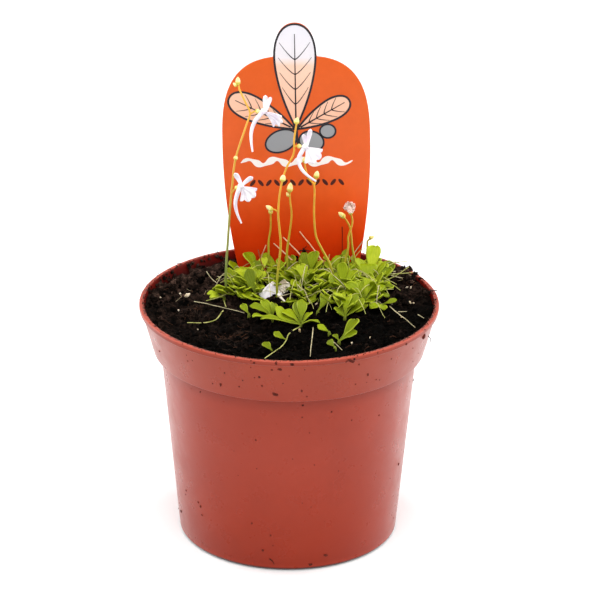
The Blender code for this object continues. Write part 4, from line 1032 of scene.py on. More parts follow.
white_lines.append(ink_shape(ink_line(brush, brush_widths), 0))
for index in range(SEED_COUNT):
    x = SEED_ROW_HALF_LENGTH * (2 * index / (SEED_COUNT - 1) - 1)
    lean = SEED_LEAN if index % 2 else -SEED_LEAN
    seed_shapes.append(ink_shape(oval(x, SEED_ROW_Z, *SEED_SIZE, lean, 18), 0))
leaf_back = ink_shape(leaf_edge(*PRINTED_LEAVES[0], LEAF_INSET), 0, 1.0)

pale_ink, tree, shader = new_finish("pale_ink", 0.3, 0.3)
coloured(tree, shader, banded(tree, SPRIG_FOOT_Z, SPRIG_FOOT_Z + SPRIG_LEAF_LENGTH, (
    (SPRIG_FOOT_Z, 244, 184, 152), (CARD_TOP_Z - 3.0, 246, 202, 178),
    (CARD_TOP_Z - 0.5, 232, 226, 230), (SPRIG_FOOT_Z + SPRIG_LEAF_LENGTH, 226, 224, 232),
)))
inks = {
    "printed_leaves": (leaf_fills + [leaf_back], pale_ink),
    "printed_pods": (pod_fills, new_finish("grey_ink", 0.3, 0.3, paint(150, 152, 156))[0]),
    "printed_lines": (dark_lines, new_finish("dark_ink", 0.35, 0.3, paint(36, 32, 38))[0]),
    "printed_brush_stroke": (
        white_lines, new_finish("white_ink", 0.35, 0.3, paint(250, 244, 240))[0],
    ),
    "printed_seeds": (seed_shapes, new_finish("brown_ink", 0.35, 0.3, paint(74, 28, 20))[0]),
}
for name, (shapes, ink) in inks.items():
    piece = ink_piece(name, shapes)
    piece.data.materials.append(ink)
    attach(piece, "root")

# Flowering stems: thin stalks, greener low down, rooted in the soil. Their ochre-orange is
# painted light reflected from the orange label, and they are greyer where a stem stands before the
# white backdrop. Each carries closed buds in green calyxes on short side stalks. A stem has a path,
# side stalks, and buds as (middle, direction, length, radius).
STEM_RADIUS = 0.4
STEM_ROOT = 8.0
STEM_TAPER = 0.3
SIDE_RADIUS = 0.27
SIDE_STEP = 0.6
CALYX_SHARE = 0.62
STEM_BAND = (68.0, 140.0)
CAD_STEM_STEP = 5.5
FINE_STEP = 1.2
SOIL_COLLAR = 0.5
STEMS = {
    "stem_left": {
        "path": (
            (-19.3, 16.0, 77), (-18.7, 16.3, 87), (-18.0, 16.5, 98), (-17.4, 16.6, 104.5),
            (-16.4, 16.8, 113), (-13.4, 17.0, 123), (-12.1, 17.1, 127.4), (-13.3, 17.1, 130.5),
            (-15.3, 17.3, 135), (-15.6, 17.4, 136.6),
        ),
        "side": (
            ((-17.7, 16.5, 101.8), (-16.8, 15.7, 103.4), (-15.9, 15.0, 104.4)),
            ((-12.3, 17.1, 127.1), (-10.8, 16.6, 128.2), (-9.7, 16.1, 128.5)),
        ),
        "buds": (
            ((-15.7, 17.4, 137.6), (0, 0, 1), 2.6, 0.75),
            ((-16.6, 17.4, 136.4), (-1, 0, 1), 1.6, 0.5),
            ((-15.9, 15.0, 104.4), (1, -1, 1), 1.5, 0.7),
            ((-9.7, 16.1, 128.5), (1, -0.4, 0.2), 1.5, 0.7),
            ((-16.3, 16.8, 113.4), (0.3, 0, 1), 1.5, 0.65),
        ),
    },
    "stem_middle": {
        "path": (
            (-3.7, 9.7, 77), (-2.7, 10.5, 87), (-3.0, 11.0, 92), (-3.5, 11.5, 98),
            (-2.8, 12.2, 105.5), (-1.2, 12.9, 111.4), (0.9, 13.5, 115.5), (1.2, 14.0, 118),
            (1.1, 14.3, 120), (1.8, 14.9, 125),
        ),
        "side": (
            ((-3.4, 11.5, 98), (-4.6, 11.7, 98.7), (-5.7, 12.0, 98.8)),
            ((1.1, 14.0, 118), (2.1, 13.6, 118.5), (2.8, 13.3, 118.5)),
        ),
        "buds": (
            ((1.9, 15.0, 126.0), (0.2, 0, 1), 2.2, 0.8),
            ((-6.2, 12.0, 99.1), (-1, 0, 0.8), 2.6, 0.75),
            ((-2.1, 12.6, 108.6), (0.2, 0, 1), 2.4, 0.85),
            ((2.8, 13.3, 118.5), (1, -0.4, 0), 1.5, 0.7),
        ),
    },
    "stem_back_middle": {
        "path": (
            (-0.8, 23.0, 77), (-0.8, 23.1, 81), (0.0, 23.3, 87), (0.5, 23.5, 92.5),
            (0.0, 23.6, 97.2), (-0.1, 23.8, 100.4),
        ),
        "buds": (
            ((0.0, 23.9, 101.2), (0.1, 0, 1), 3.2, 0.9),
            ((-0.7, 23.9, 98.9), (-0.6, 0, 1), 1.6, 0.55),
        ),
    },
    "stem_right": {
        "path": (
            (13.4, 17.0, 74.5), (12.2, 17.2, 79), (9.6, 17.5, 84), (7.9, 17.8, 88),
            (7.3, 18.2, 95), (7.4, 18.6, 102.4), (6.9, 18.9, 104.6), (5.5, 19.1, 106.0),
            (4.6, 19.4, 109), (4.4, 19.7, 110.9),
        ),
        "side": (
            ((7.2, 18.7, 103.6), (7.6, 19.2, 104.9), (7.9, 19.7, 105.9)),
        ),
        "buds": (
            ((4.4, 19.8, 111.7), (0, 0, 1), 2.0, 0.75),
            ((8.0, 20.0, 106.9), (0.2, 0.2, 1), 2.4, 0.85),
        ),
    },
    "stem_far_right": {
        "path": (
            (19.9, 26.0, 76.5), (19.1, 26.0, 81), (18.6, 26.0, 86), (17.9, 26.0, 88.5),
            (16.6, 26.0, 90.6),
        ),
        "buds": (((15.7, 26.0, 91.5), (-1, 0, 0.9), 2.7, 0.8),),
    },
    "stem_withered": {
        "path": (
            (16.8, 23.0, 76.5), (17.8, 23.0, 82), (17.8, 23.0, 85.5), (18.8, 23.0, 89),
            (19.0, 23.0, 91), (18.5, 23.0, 93.2),
        ),
        "buds": (((18.4, 23.0, 93.5), (-0.3, 0, 1), 1.3, 0.7),),
    },
    "stem_far_left": {
        "path": ((-6.4, 28.0, 76), (-6.5, 28.0, 81.5), (-5.9, 28.0, 86), (-5.9, 28.0, 91)),
        "buds": (((-5.9, 28.0, 91.9), (0, 0, 1), 2.2, 0.7),),
    },
    "stem_sprout": {
        "path": (
            (24.0, 30.6, 76), (23.8, 30.6, 79.5), (23.8, 30.6, 81.0), (24.7, 30.6, 82.0),
        ),
        "buds": (((25.1, 30.6, 82.3), (1, 0, 0.4), 1.8, 0.6),),
    },
}


def smooth_path(points, step):
    """Reads a Catmull-Rom curve through the points, about every `step` millimetres."""
    points = [np.array(point, float) for point in points]
    ends = [2 * points[0] - points[1], *points, 2 * points[-1] - points[-2]]
    path = []
    for a, b, c, d in zip(ends, ends[1:], ends[2:], ends[3:]):
        count = max(1, round(float(np.linalg.norm(c - b)) / step))
        for index in range(count):
            t = index / count
            linear = (c - a) * t
            square = (2 * a - 5 * b + 4 * c - d) * t**2
            cubic = (3 * b - a - 3 * c + d) * t**3
            path.append(0.5 * (2 * b + linear + square + cubic))
    path.append(points[-1])
    return path


def stem_path(spec, step):
    """A stem's whole path, with its root straight down in the soil."""
    x, y, _ = spec["path"][0]
    ground = soil_z(x, y)
    start = ((x, y, ground - STEM_ROOT), (x, y, ground + SOIL_COLLAR))
    return smooth_path((*start, *spec["path"]), step)


def shaped_ball(segments, rings, shape):
    """A ball turned into a lathe shape by (height, radius) stops, both from -1 to 1."""
    bpy.ops.object.select_all(action="DESELECT")
    bpy.ops.mesh.primitive_uv_sphere_add(segments=segments, ring_count=rings, radius=MM)
    ball = bpy.context.object
    heights, widths = zip(*shape)
    for vertex in ball.data.vertices:
        x, y, z = vertex.co / MM
        round_x, round_y = Vector((x, y)).normalized() if abs(z) < 0.999 else (0.0, 0.0)
        wide = float(np.interp(z, heights, widths))
        vertex.co = (round_x * wide * MM, round_y * wide * MM, z * MM)
    return pattern(ball)


bud_pattern = shaped_ball(12, 12, (
    (-1.0, 0.0), (-0.9, 0.42), (-0.6, 0.84), (-0.1, 1.0), (0.4, 0.8), (0.75, 0.42), (1.0, 0.0),
))
calyx_pattern = shaped_ball(10, 10, (
    (-1.0, 0.0), (-0.9, 0.5), (-0.4, 0.92), (0.1, 1.06), (0.45, 1.0), (0.5, 0.7), (1.0, 0.0),
))


def facing(direction):
    """The turn that takes +Z to a direction."""
    return Vector(direction).to_track_quat("Z", "Y").to_matrix()


def joined(name, pieces):
    """Joins pieces into the first, which takes the name."""
    pick(pieces[0])
    for piece in pieces:
        piece.select_set(True)
    bpy.ops.object.join()
    pieces[0].name = name
    return pieces[0]


def tapered(path, radii):
    """A path with its radii, which change evenly from the first to the last."""
    return path, np.linspace(*radii, len(path))


def egg_places(buds):
    """Where each bud goes, and its calyx round the lower part of it."""
    eggs, cups = [], []
    for centre, direction, length, radius in buds:
        turn = facing(direction)
        ahead = np.array(Vector(direction).normalized())
        eggs.append((0, np.array(centre), (radius, radius, length / 2), turn))
        low = np.array(centre) - ahead * length * (1 - CALYX_SHARE) / 2 * 1.15
        wide = radius * 1.04
        cups.append((0, low, (wide, wide, length / 2 * CALYX_SHARE), turn))
    return eggs, cups


# Stem colour by height: green low down, then ochre-orange higher up, which is painted light
# reflected from the orange label; a second copy is greyer low down, where a stem stands before the
# white backdrop.
card_lit_stem_skin, tree, shader = new_finish("card_lit_stem_skin", 0.42, 0.25)
stem_colour_and_card_reflection = banded(tree, *STEM_BAND, (
    (70.0, 146, 156, 40), (77.0, 182, 178, 52), (88.0, 208, 160, 44), (106.0, 226, 162, 50),
    (138.0, 230, 174, 64),
))
stem_flecks = mottled(tree, 500.0, (0.82, 0.84, 0.78, 1.0), WHITE)
coloured(tree, shader, multiplied(tree, stem_colour_and_card_reflection, stem_flecks.outputs["Colour"]))
partly_card_lit_stem_skin, tree, shader = new_finish("partly_card_lit_stem_skin", 0.45, 0.25)
coloured(tree, shader, banded(tree, *STEM_BAND, (
    (70.0, 124, 140, 50), (80.0, 142, 154, 84), (95.0, 168, 158, 78), (102.0, 206, 156, 60),
    (138.0, 232, 178, 70),
)))
bud_skin = mottled_finish("bud_skin", 0.45, 0.3, 600.0, (232, 210, 120), (248, 236, 176))
calyx_skin = mottled_finish("calyx_skin", 0.5, 0.3, 600.0, (196, 178, 62), (222, 206, 96))

for node_name, spec in STEMS.items():
    stem_radii = (STEM_RADIUS, STEM_RADIUS * (1 - STEM_TAPER))
    runs = [tapered(stem_path(spec, FINE_STEP), stem_radii)]
    for side in spec.get("side", ()):
        runs.append(tapered(smooth_path(side, SIDE_STEP), (SIDE_RADIUS, SIDE_RADIUS)))
    stalk = rods("stalk", runs)
    # The left stem, whose lower part stands before the white backdrop, takes the copy that is
    # greyer there, with less painted reflection of the label.
    stalk.data.materials.append(partly_card_lit_stem_skin if node_name == "stem_left" else card_lit_stem_skin)
    eggs, cups = egg_places(spec["buds"])
    bud_part = strewn("buds", [bud_pattern], eggs)
    bud_part.data.materials.append(bud_skin)
    calyx_part = strewn("calyxes", [calyx_pattern], cups)
    calyx_part.data.materials.append(calyx_skin)
    for part in (bud_part, calyx_part):
        part.data.shade_smooth()
    piece = joined("flower_" + node_name, [stalk, bud_part, calyx_part])
    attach(piece, "root")
    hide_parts(node_name)

# Blooms: each flower is a throat with two long upper petals, a frilled lip below and a tapering
# spur, all soft white tissue with a lilac blush. Ears are (foot, tip, width), and a lip is
# (direction, side, reach, half angle). One more has withered, and one dropped on the soil.
PETAL_THICKNESS = 0.28
BLOOMS = {
    "bloom_left_high": {
        "throat": (-8.0, 15.4, 128.7),
        "ears": (
            ((-7.2, 15.0, 129.2), (-7.5, 14.8, 134.0), 1.5),
            ((-6.6, 15.4, 129.0), (-5.9, 16.6, 132.8), 1.3),
        ),
        "lip": ((0.80, -0.25, -0.62), (0.45, -0.60, 0.65), 6.4, 34.0),
        "spur": (
            (-8.6, 15.3, 128.2), (-10.6, 15.0, 125.6), (-11.6, 15.0, 122.6), (-11.7, 15.0, 119.4),
            (-11.3, 15.0, 116.0),
        ),
    },
    "bloom_left_low": {
        "throat": (-14.7, 13.9, 105.4),
        "ears": (
            ((-14.4, 13.7, 106.0), (-16.6, 13.6, 109.6), 1.6),
            ((-14.0, 13.7, 106.0), (-11.2, 13.6, 108.4), 1.5),
        ),
        "lip": ((0.62, -0.25, -0.76), (0.80, -0.10, 0.56), 5.2, 46.0),
        "spur": (
            (-15.0, 13.8, 104.9), (-15.9, 13.6, 102.6), (-16.4, 13.5, 99.6), (-15.8, 13.6, 96.4),
            (-14.6, 13.8, 93.4),
        ),
    },
    "bloom_right": {
        "throat": (4.5, 12.9, 118.5),
        "ears": (
            ((5.3, 12.8, 119.0), (6.1, 12.6, 124.2), 1.5),
            ((4.8, 12.9, 119.2), (3.9, 12.8, 122.4), 1.4),
        ),
        "lip": ((0.62, -0.30, -0.74), (0.80, -0.15, 0.54), 5.6, 46.0),
        "spur": (
            (4.0, 13.0, 117.9), (2.5, 13.0, 114.6), (3.2, 13.2, 111.6), (5.1, 13.4, 109.2),
            (7.8, 13.5, 107.2),
        ),
    },
}
LIP_SCALLOPS = 3
LIP_OFFSET = (0.2, -0.2, -0.1)
THROAT_AHEAD = (1.0, -0.6, 0.2)
THROAT_LENGTH = 2.2
THROAT_RADIUS = 0.95
FAN_SHARES = (0.12, 0.25, 0.4, 0.55, 0.7, 0.82, 0.92, 1.0)
FAN_COLUMNS = 25
SCALLOP_DEPTH = 0.13
FAN_ROUNDING = 0.12
EAR_SHARES = (0.0, 0.15, 0.3, 0.45, 0.6, 0.75, 0.85, 0.93, 1.0)
EAR_SIDES = (-1, -0.5, 0, 0.5, 1)
SPUR_STEP = 0.8
SPUR_RADIUS = 0.68
SPUR_TAPER = 0.40
EAR_OUTLINE = ((0.0, 0.5), (0.4, 0.8), (0.75, 1.0), (0.93, 0.85), (1.0, 0.5))
EAR_BOW = 0.8
EAR_FOLD = 0.15
WITHERED_AT = (18.1, 22.9, 95.3)
WITHERED_HEADINGS = (20, 65, 110, 155, 200, 245, 290, 335)
WITHERED_REACHES = (2.0, 1.7)
WITHERED_TILTS = (-0.5, -0.9)
WITHERED_FRILL = (40.0, 2, 0.25, 0.12)
WITHERED_THICKNESS = 0.16
FALLEN_AT = (-5.4, 13.7)
FALLEN_HEIGHT = 4.2
# The dropped bloom's petals are (place from its middle, direction, side, reach, half angle,
# scallops, dish, frill), and its throat (place from its middle, direction, length, radius).
DROPPED_AT = (-5.4, 12.6, 75.0)
DROPPED_WHITE = (
    ((0.0, 0.0, 0.0), (-0.02, -0.5, -0.85), (1.0, 0.1, -0.1), 6.2, 43.0, 1, 0.9, 0.1),
    ((0.3, 0.5, -0.4), (0.35, -0.25, -0.9), (0.9, 0.5, 0.0), 5.6, 38.0, 1, 0.7, 0.1),
)
DROPPED_CREAM = (
    ((1.8, 0.0, -1.8), (0.95, -0.2, 0.2), (-0.3, -0.2, 0.9), 3.8, 48.0, 2, 0.6, 0.3),
    ((1.4, 0.3, -2.0), (0.85, -0.35, -0.4), (0.3, -0.2, 0.9), 3.2, 36.0, 2, 0.5, 0.3),
)
DROPPED_THROAT = ((0.7, 0.3, -1.2), (0.6, 0.2, -0.7), 2.6, 0.7)
DROPPED_SPUR = ((-3.4, 8.2, 72.6), (-2.4, 7.0, 71.9), (-1.0, 5.4, 71.1))
DROPPED_SPUR_RADII = (0.5, 0.22)


def unit(vector):
    vector = np.array(vector, float)
    return vector / np.linalg.norm(vector)


def sheet_part(rows):
    """An open sheet from rows of points, as points and faces."""
    grid = np.array(rows, float)
    count, width = grid.shape[:2]
    faces = []
    for row in range(count - 1):
        for column in range(width - 1):
            a = row * width + column
            faces.append((a, a + 1, a + width + 1, a + width))
    return grid.reshape(-1, 3), faces


def sheets(name, parts, thickness):
    """Open sheets as one piece, given their thickness."""
    piece = gathered(name, parts)
    apply_modifier(piece, "SOLIDIFY", thickness=thickness * MM, offset=0.0)
    piece.data.shade_smooth()
    return piece


def fan(foot, along, across, reach, half_angle, scallops, dish=0.7, frill=0.22):
    """A fan-shaped petal: rows run out from its foot, and its outer edge is scalloped."""
    along = unit(along)
    across = np.array(across, float)
    across = unit(across - along * np.dot(along, across))
    face = np.cross(across, along)
    rows = []
    for share in FAN_SHARES:
        row = []
        for turn in np.linspace(-1.0, 1.0, FAN_COLUMNS):
            angle = math.radians(half_angle) * turn
            wave = abs(math.cos(math.pi * scallops * (turn + 1) / 2)) ** 0.7
            trimmed = 1.0 - SCALLOP_DEPTH * (1 - wave) * share - FAN_ROUNDING * turn**2
            radius = reach * share * trimmed
            bow = dish * math.sin(share * 2.2) + 0.25 * share * math.sin(3.0 * math.pi * turn)
            bow += frill * share**3 * math.sin(11.0 * turn + 2.0 * share)
            spread = along * math.cos(angle) + across * math.sin(angle)
            row.append(np.array(foot, float) + spread * radius + face * bow)
        rows.append(row)
    return sheet_part(rows)


def ear(foot, tip, width):
    """A long upper petal, narrow at its foot and rounded at its tip."""
    foot, tip = np.array(foot, float), np.array(tip, float)
    ahead = tip - foot
    back = np.array((0.0, 1.0, 0.0))
    across = unit(np.cross(ahead, back))
    places, widths = zip(*EAR_OUTLINE)
    rows = []
    for share in EAR_SHARES:
        wide = width * float(np.interp(share, places, widths)) / 2
        centre = foot + ahead * share + back * EAR_BOW * math.sin(math.pi * share)
        rows.append([centre + across * wide * side - back * EAR_FOLD * (1 - side**2)
                     - ahead * 0.06 * side**2 * share for side in EAR_SIDES])
    return sheet_part(rows)


petal_white = mottled_finish(
    "petal_white", 0.55, 0.3, 260.0, (226, 212, 230), (250, 246, 250), 0.3, 0.6
)
petal_cream = mottled_finish(
    "petal_cream", 0.6, 0.3, 450.0, (212, 180, 140), (246, 236, 220), 0.3, 0.5
)
petal_faded = mottled_finish(
    "petal_faded", 0.65, 0.3, 700.0, (206, 156, 140), (246, 222, 212), 0.35, 0.6
)


def throat_part(centre, direction, length, radius, colour):
    part = strewn("throat", [bud_pattern], [
        (0, np.array(centre, float), (radius, radius, length / 2), facing(direction)),
    ])
    part.data.shade_smooth()
    part.data.materials.append(colour)
    return part


for node_name, spec in BLOOMS.items():
    throat = np.array(spec["throat"], float)
    parts = [fan(throat + LIP_OFFSET, *spec["lip"], LIP_SCALLOPS)]
    parts += [ear((throat + foot) / 2, tip, width) for foot, tip, width in spec["ears"]]
    petals = sheets("petals", parts, PETAL_THICKNESS)
    petals.data.materials.append(petal_white)
    path = smooth_path(spec["spur"], SPUR_STEP)
    along = np.linspace(0.0, 1.0, len(path))
    spur = rods("spur", [(path, SPUR_RADIUS - SPUR_TAPER * along**1.5)], 3)
    spur.data.materials.append(petal_white)
    heart = throat_part(throat, THROAT_AHEAD, THROAT_LENGTH, THROAT_RADIUS, petal_white)
    piece = joined("open_" + node_name, [petals, spur, heart])
    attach(piece, "root")
    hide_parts(node_name)

middle = np.array(WITHERED_AT)
frills = []
for heading in WITHERED_HEADINGS:
    cos_turn, sin_turn = math.cos(math.radians(heading)), math.sin(math.radians(heading))
    along = (cos_turn, WITHERED_TILTS[heading % 2], sin_turn + 0.4)
    reach = WITHERED_REACHES[heading % 2]
    frills.append(fan(middle, along, (-sin_turn, 0.2, cos_turn), reach, *WITHERED_FRILL))
crumple = sheets("crumple", frills, WITHERED_THICKNESS)
crumple.data.materials.append(petal_faded)
heart = throat_part(middle - (0.0, 0.0, 0.1), (-0.3, 0, 1), 1.8, 0.8, petal_faded)
piece = joined("withered_bloom", [crumple, heart])
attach(piece, "root")
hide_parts("bloom_withered")

middle = np.array(DROPPED_AT)
parts = []
for name, rows, skin in (
    ("white_sheet", DROPPED_WHITE, petal_white), ("cream_sheet", DROPPED_CREAM, petal_cream),
):
    fans = [fan(middle + place, *row) for place, *row in rows]
    parts.append(sheets(name, fans, PETAL_THICKNESS))
    parts[-1].data.materials.append(skin)
place, *row = DROPPED_THROAT
parts.append(throat_part(middle + place, *row, petal_cream))
spur = rods("spur", [tapered(smooth_path(DROPPED_SPUR, 0.6), DROPPED_SPUR_RADII)])
spur.data.materials.append(petal_cream)
piece = joined("dropped_bloom", [*parts, spur])
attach(piece, "root")
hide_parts("bloom_fallen")

# Dry stalks and straws: last season's thin pale stalks lean on the label or lie on the soil, with
# a bare green runner among them. Stalks are a foot and a top, and straws points on the ground or,
# for the thinnest, (x, y, height over the soil).
THIN_RADIUS = 0.3
RUNNER_RADIUS = 0.35
CLEARANCE = 0.35
DRY_STALKS = {
    "dry_stalk_a": ((8.6, 25.0), (-2.1, 30.6, 82.2)),
    "dry_stalk_b": ((3.4, 27.6), (-5.0, 30.8, 80.0)),
    "dry_stalk_c": ((12.0, 26.6), (3.0, 30.7, 84.0)),
}
DRY_STALK_ROOT = 4.0
DRY_STALK_BOW = 0.8
DRY_STALK_STEP = 3.0
STRAWS = {
    "straw_front": ((7.2, -15.0), (6.9, -24.0), (6.3, -37.5)),
    "straw_right": ((30.2, -1.0), (33.5, -8.5), (37.4, -16.5)),
    "straw_back_right": ((30.4, 22.6), (34.0, 23.2), (37.2, 21.6)),
    "straw_left": ((-28.7, 5.4), (-21.0, 2.4), (-13.4, -2.4)),
    "straw_left_back": ((-25.6, 29.6), (-24.0, 24.5), (-22.0, 20.4)),
}
GREEN_RUNNERS = {
    "runner_left": ((-19.8, -1.4), (-21.9, -7.4), (-25.6, -9.8), (-30.3, -10.5)),
}
KINK_SIZE = 2.5
KINK_SHIFTS = ((0.0, 0.0, 0.0), (9.3, 1.5, 7.9), (6.3, 0.2, 2.7))
GROUND_STEP = 2.5
GROUND_REACH = 0.8
STRAW_LIFT = 0.6
RUNNER_LIFT = 0.5
LUMP_EASE = 7
DRY_STALK_RADII = (0.28, 0.18)
STRAW_RADII = (0.15, 0.09)
BARE_RUNNER_RADII = (0.19, 0.12)
THIN_STRAW_RADII = (0.13, 0.08)
SHORT_STALK_RADII = (0.22, 0.16)
SHORT_STALK = ((-9.4, 26.8, 71.4), (-8.9, 28.2, 75.8), (-7.2, 28.6, 80.4))
THIN_STRAWS = (
    ((-25.0, 30.5, 0.5), (-21.1, 28.1, 1.0)),
    ((12.8, -24.5, 0.3), (14.4, -28.0, 0.5), (15.8, -31.9, 0.3)),
    ((29.8, 22.7, 1.0), (33.8, 24.2, 1.2), (37.2, 26.9, 0.8)),
    ((29.1, 26.2, 1.2), (32.6, 31.4, 1.6)),
    ((15.7, 30.5, 2.2), (12.0, 25.6, 3.0), (7.9, 21.0, 2.6), (5.2, 17.0, 1.6)),
    ((28.2, 1.9, 0.4), (25.0, 6.8, 0.8)),
    ((32.6, -4.5, 0.6), (35.3, -3.3, 0.5)),
    ((38.4, -6.7, 0.5), (41.6, -10.0, 0.9)),
    ((22.5, 30.4, 8.6), (17.8, 29.0, 4.0), (15.6, 27.6, 1.2)),
    ((31.0, 20.0, 1.2), (35.5, 19.2, 1.6), (38.5, 17.4, 0.8)),
    ((-3.6, 5.2, 2.4), (2.4, 9.2, 3.0), (9.4, 12.4, 3.6)),
    ((10.2, 6.0, 1.8), (13.8, 9.4, 2.6), (19.2, 10.8, 3.0)),
    ((-2.0, 20.0, 3.2), (1.6, 24.6, 3.8), (4.8, 28.2, 3.2)),
)


def dry_stalk_path(foot, top, step):
    x, y = foot
    ground = soil_z(x, y)
    bend = (0.5 * (x + top[0]), 0.5 * (y + top[1]), 0.5 * (ground + top[2]) + DRY_STALK_BOW)
    return smooth_path(((x, y, ground - DRY_STALK_ROOT), (x, y, ground + 0.6), bend, top), step)


def ground_path(points, lift, step=GROUND_STEP):
    """A path over the soil, which keeps its height above the lumps."""
    path = []
    around = (-GROUND_REACH, 0.0, GROUND_REACH)
    for x, y, _ in smooth_path([(x, y, 0.0) for x, y in points], step):
        nearby = [soil_z(x + dx, y + dy) for dx in around for dy in around]
        path.append((x, y, max(nearby) + lift))
    return path


def draped(points, lift, step=1.0):
    """A path that lies over the lumps of the soil."""
    around = (-0.5, 0.0, 0.5)
    path = []
    for x, y, _ in smooth_path([(x, y, 0.0) for x, y in points], step):
        nearby = [crumbled_z(x + dx, y + dy) for dx in around for dy in around]
        path.append((x, y, max(nearby) + lift))
    ends = LUMP_EASE // 2
    heights = np.pad([z for _, _, z in path], ends, mode="edge")
    tops = np.lib.stride_tricks.sliding_window_view(heights, LUMP_EASE).max(axis=1)
    shares = np.full(LUMP_EASE, 1 / LUMP_EASE)
    eased = np.convolve(np.pad(tops, ends, mode="edge"), shares, mode="valid")
    return [(x, y, z) for (x, y, _), z in zip(path, eased)]


def wavered(path, seed, amount=0.12):
    """A path with the slight kinks of a dry stalk."""
    kinked = []
    for point in path:
        place = Vector(point) / KINK_SIZE + Vector((seed, 0.0, 0.0))
        kinks = [noise.noise(place + Vector(shift)) for shift in KINK_SHIFTS]
        kinked.append(np.array(point) + np.array(kinks) * amount)
    return kinked


straw_skin = mottled_finish(
    "straw_skin", 0.6, 0.2, 420.0, (150, 140, 104), (212, 200, 160), 0.35, 0.6
)
runner_skin = mottled_finish(
    "runner_skin", 0.5, 0.2, 300.0, (140, 146, 66), (206, 202, 124), 0.35, 0.6
)
# The stalks that lean on the label keep the straws' pale colour warmed pinkish-orange: painted
# light reflected from the orange card.
card_lit_stalk_skin = mottled_finish(
    "card_lit_stalk_skin", 0.55, 0.25, 300.0, (206, 144, 100), (240, 196, 158), 0.35, 0.6
)
for seed, (node_name, (foot, top)) in enumerate(DRY_STALKS.items()):
    path = wavered(dry_stalk_path(foot, top, 1.0), seed)
    piece = rods("old_" + node_name, [tapered(path, DRY_STALK_RADII)])
    piece.data.materials.append(card_lit_stalk_skin)
    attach(piece, "root")
    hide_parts(node_name)
for seed, (node_name, points) in enumerate(STRAWS.items()):
    path = wavered(draped(points, STRAW_LIFT), seed + 10.0, 0.08)
    piece = rods("lying_" + node_name, [tapered(path, STRAW_RADII)])
    piece.data.materials.append(straw_skin)
    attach(piece, "root")
    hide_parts(node_name)
for node_name, points in GREEN_RUNNERS.items():
    path = wavered(draped(points, RUNNER_LIFT), 30.0)
    piece = rods("bare_" + node_name, [tapered(path, BARE_RUNNER_RADII)])
    piece.data.materials.append(runner_skin)
    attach(piece, "root")
    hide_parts(node_name)
runs = []
for seed, points in enumerate(THIN_STRAWS):
    path = smooth_path([above(*place) for place in points], 0.8)
    runs.append(tapered(wavered(path, seed + 50.0), THIN_STRAW_RADII))
path = wavered(smooth_path(SHORT_STALK, 0.8), 90.0, 0.08)
short_stalk = rods("short_stalk", [tapered(path, SHORT_STALK_RADII)], 1)
short_stalk.data.materials.append(card_lit_stalk_skin)
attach(short_stalk, "root")
thin_straws = rods("thin_straws", runs, 1)
thin_straws.data.materials.append(straw_skin)
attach(thin_straws, "root")

# Scraps: bits of dark root and twig that are caught on the pot and lie before the label, and a
# reddish dead stalk at the back left. Each is a path and its radius, which halves along it.
SCRAPS = (
    (((-5.3, -33.1, 4.0), (-4.4, -33.1, 3.3), (-3.9, -33.0, 2.2)), 0.16),
    (((16.0, 30.9, 85.6), (16.15, 30.9, 81.0), (16.1, 30.7, 76.0)), 0.13),
    (((42.4, 7.5, 74.2), (43.6, 7.4, 74.6), (44.7, 7.6, 74.4)), 0.22),
    (((38.6, 19.8, 73.6), (40.2, 18.0, 74.2), (41.2, 16.6, 73.9)), 0.2),
    (((41.2, -18.8, 71.0), (42.0, -19.6, 70.2), (41.6, -20.0, 69.0)), 0.14),
    (((2.2, 30.6, 77.4), (4.3, 30.8, 77.9), (6.5, 30.6, 77.6)), 0.2),
    (((3.4, 30.7, 76.4), (4.4, 30.8, 78.2), (5.2, 30.8, 79.3)), 0.16),
    (((4.0, 30.7, 78.6), (4.9, 30.8, 77.4), (6.2, 30.6, 76.4)), 0.16),
)
RED_STALKS = (
    (((-9.7, 27.6, 79.2), (-8.8, 25.0, 76.6), (-7.4, 21.8, 74.2), (-6.4, 19.6, 72.0)), 0.17),
    (((-7.4, 21.6, 75.2), (-7.0, 20.4, 73.6), (-6.4, 19.2, 72.0)), 0.14),
)
dead_stalk, tree, shader = new_finish("dead_stalk", 0.6, 0.2, paint(128, 66, 30))
dark_root, tree, shader = new_finish("dark_root", 0.7, 0.15, paint(52, 26, 18))
for name, rows, skin in (("scraps", SCRAPS, dark_root), ("red_stalks", RED_STALKS, dead_stalk)):
    runs = []
    for seed, (points, radius) in enumerate(rows):
        path = wavered(smooth_path(points, 0.6), seed + 80.0)
        runs.append(tapered(path, (radius, radius / 2)))
    piece = rods(name, runs, 1)
    piece.data.materials.append(skin)
    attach(piece, "root")

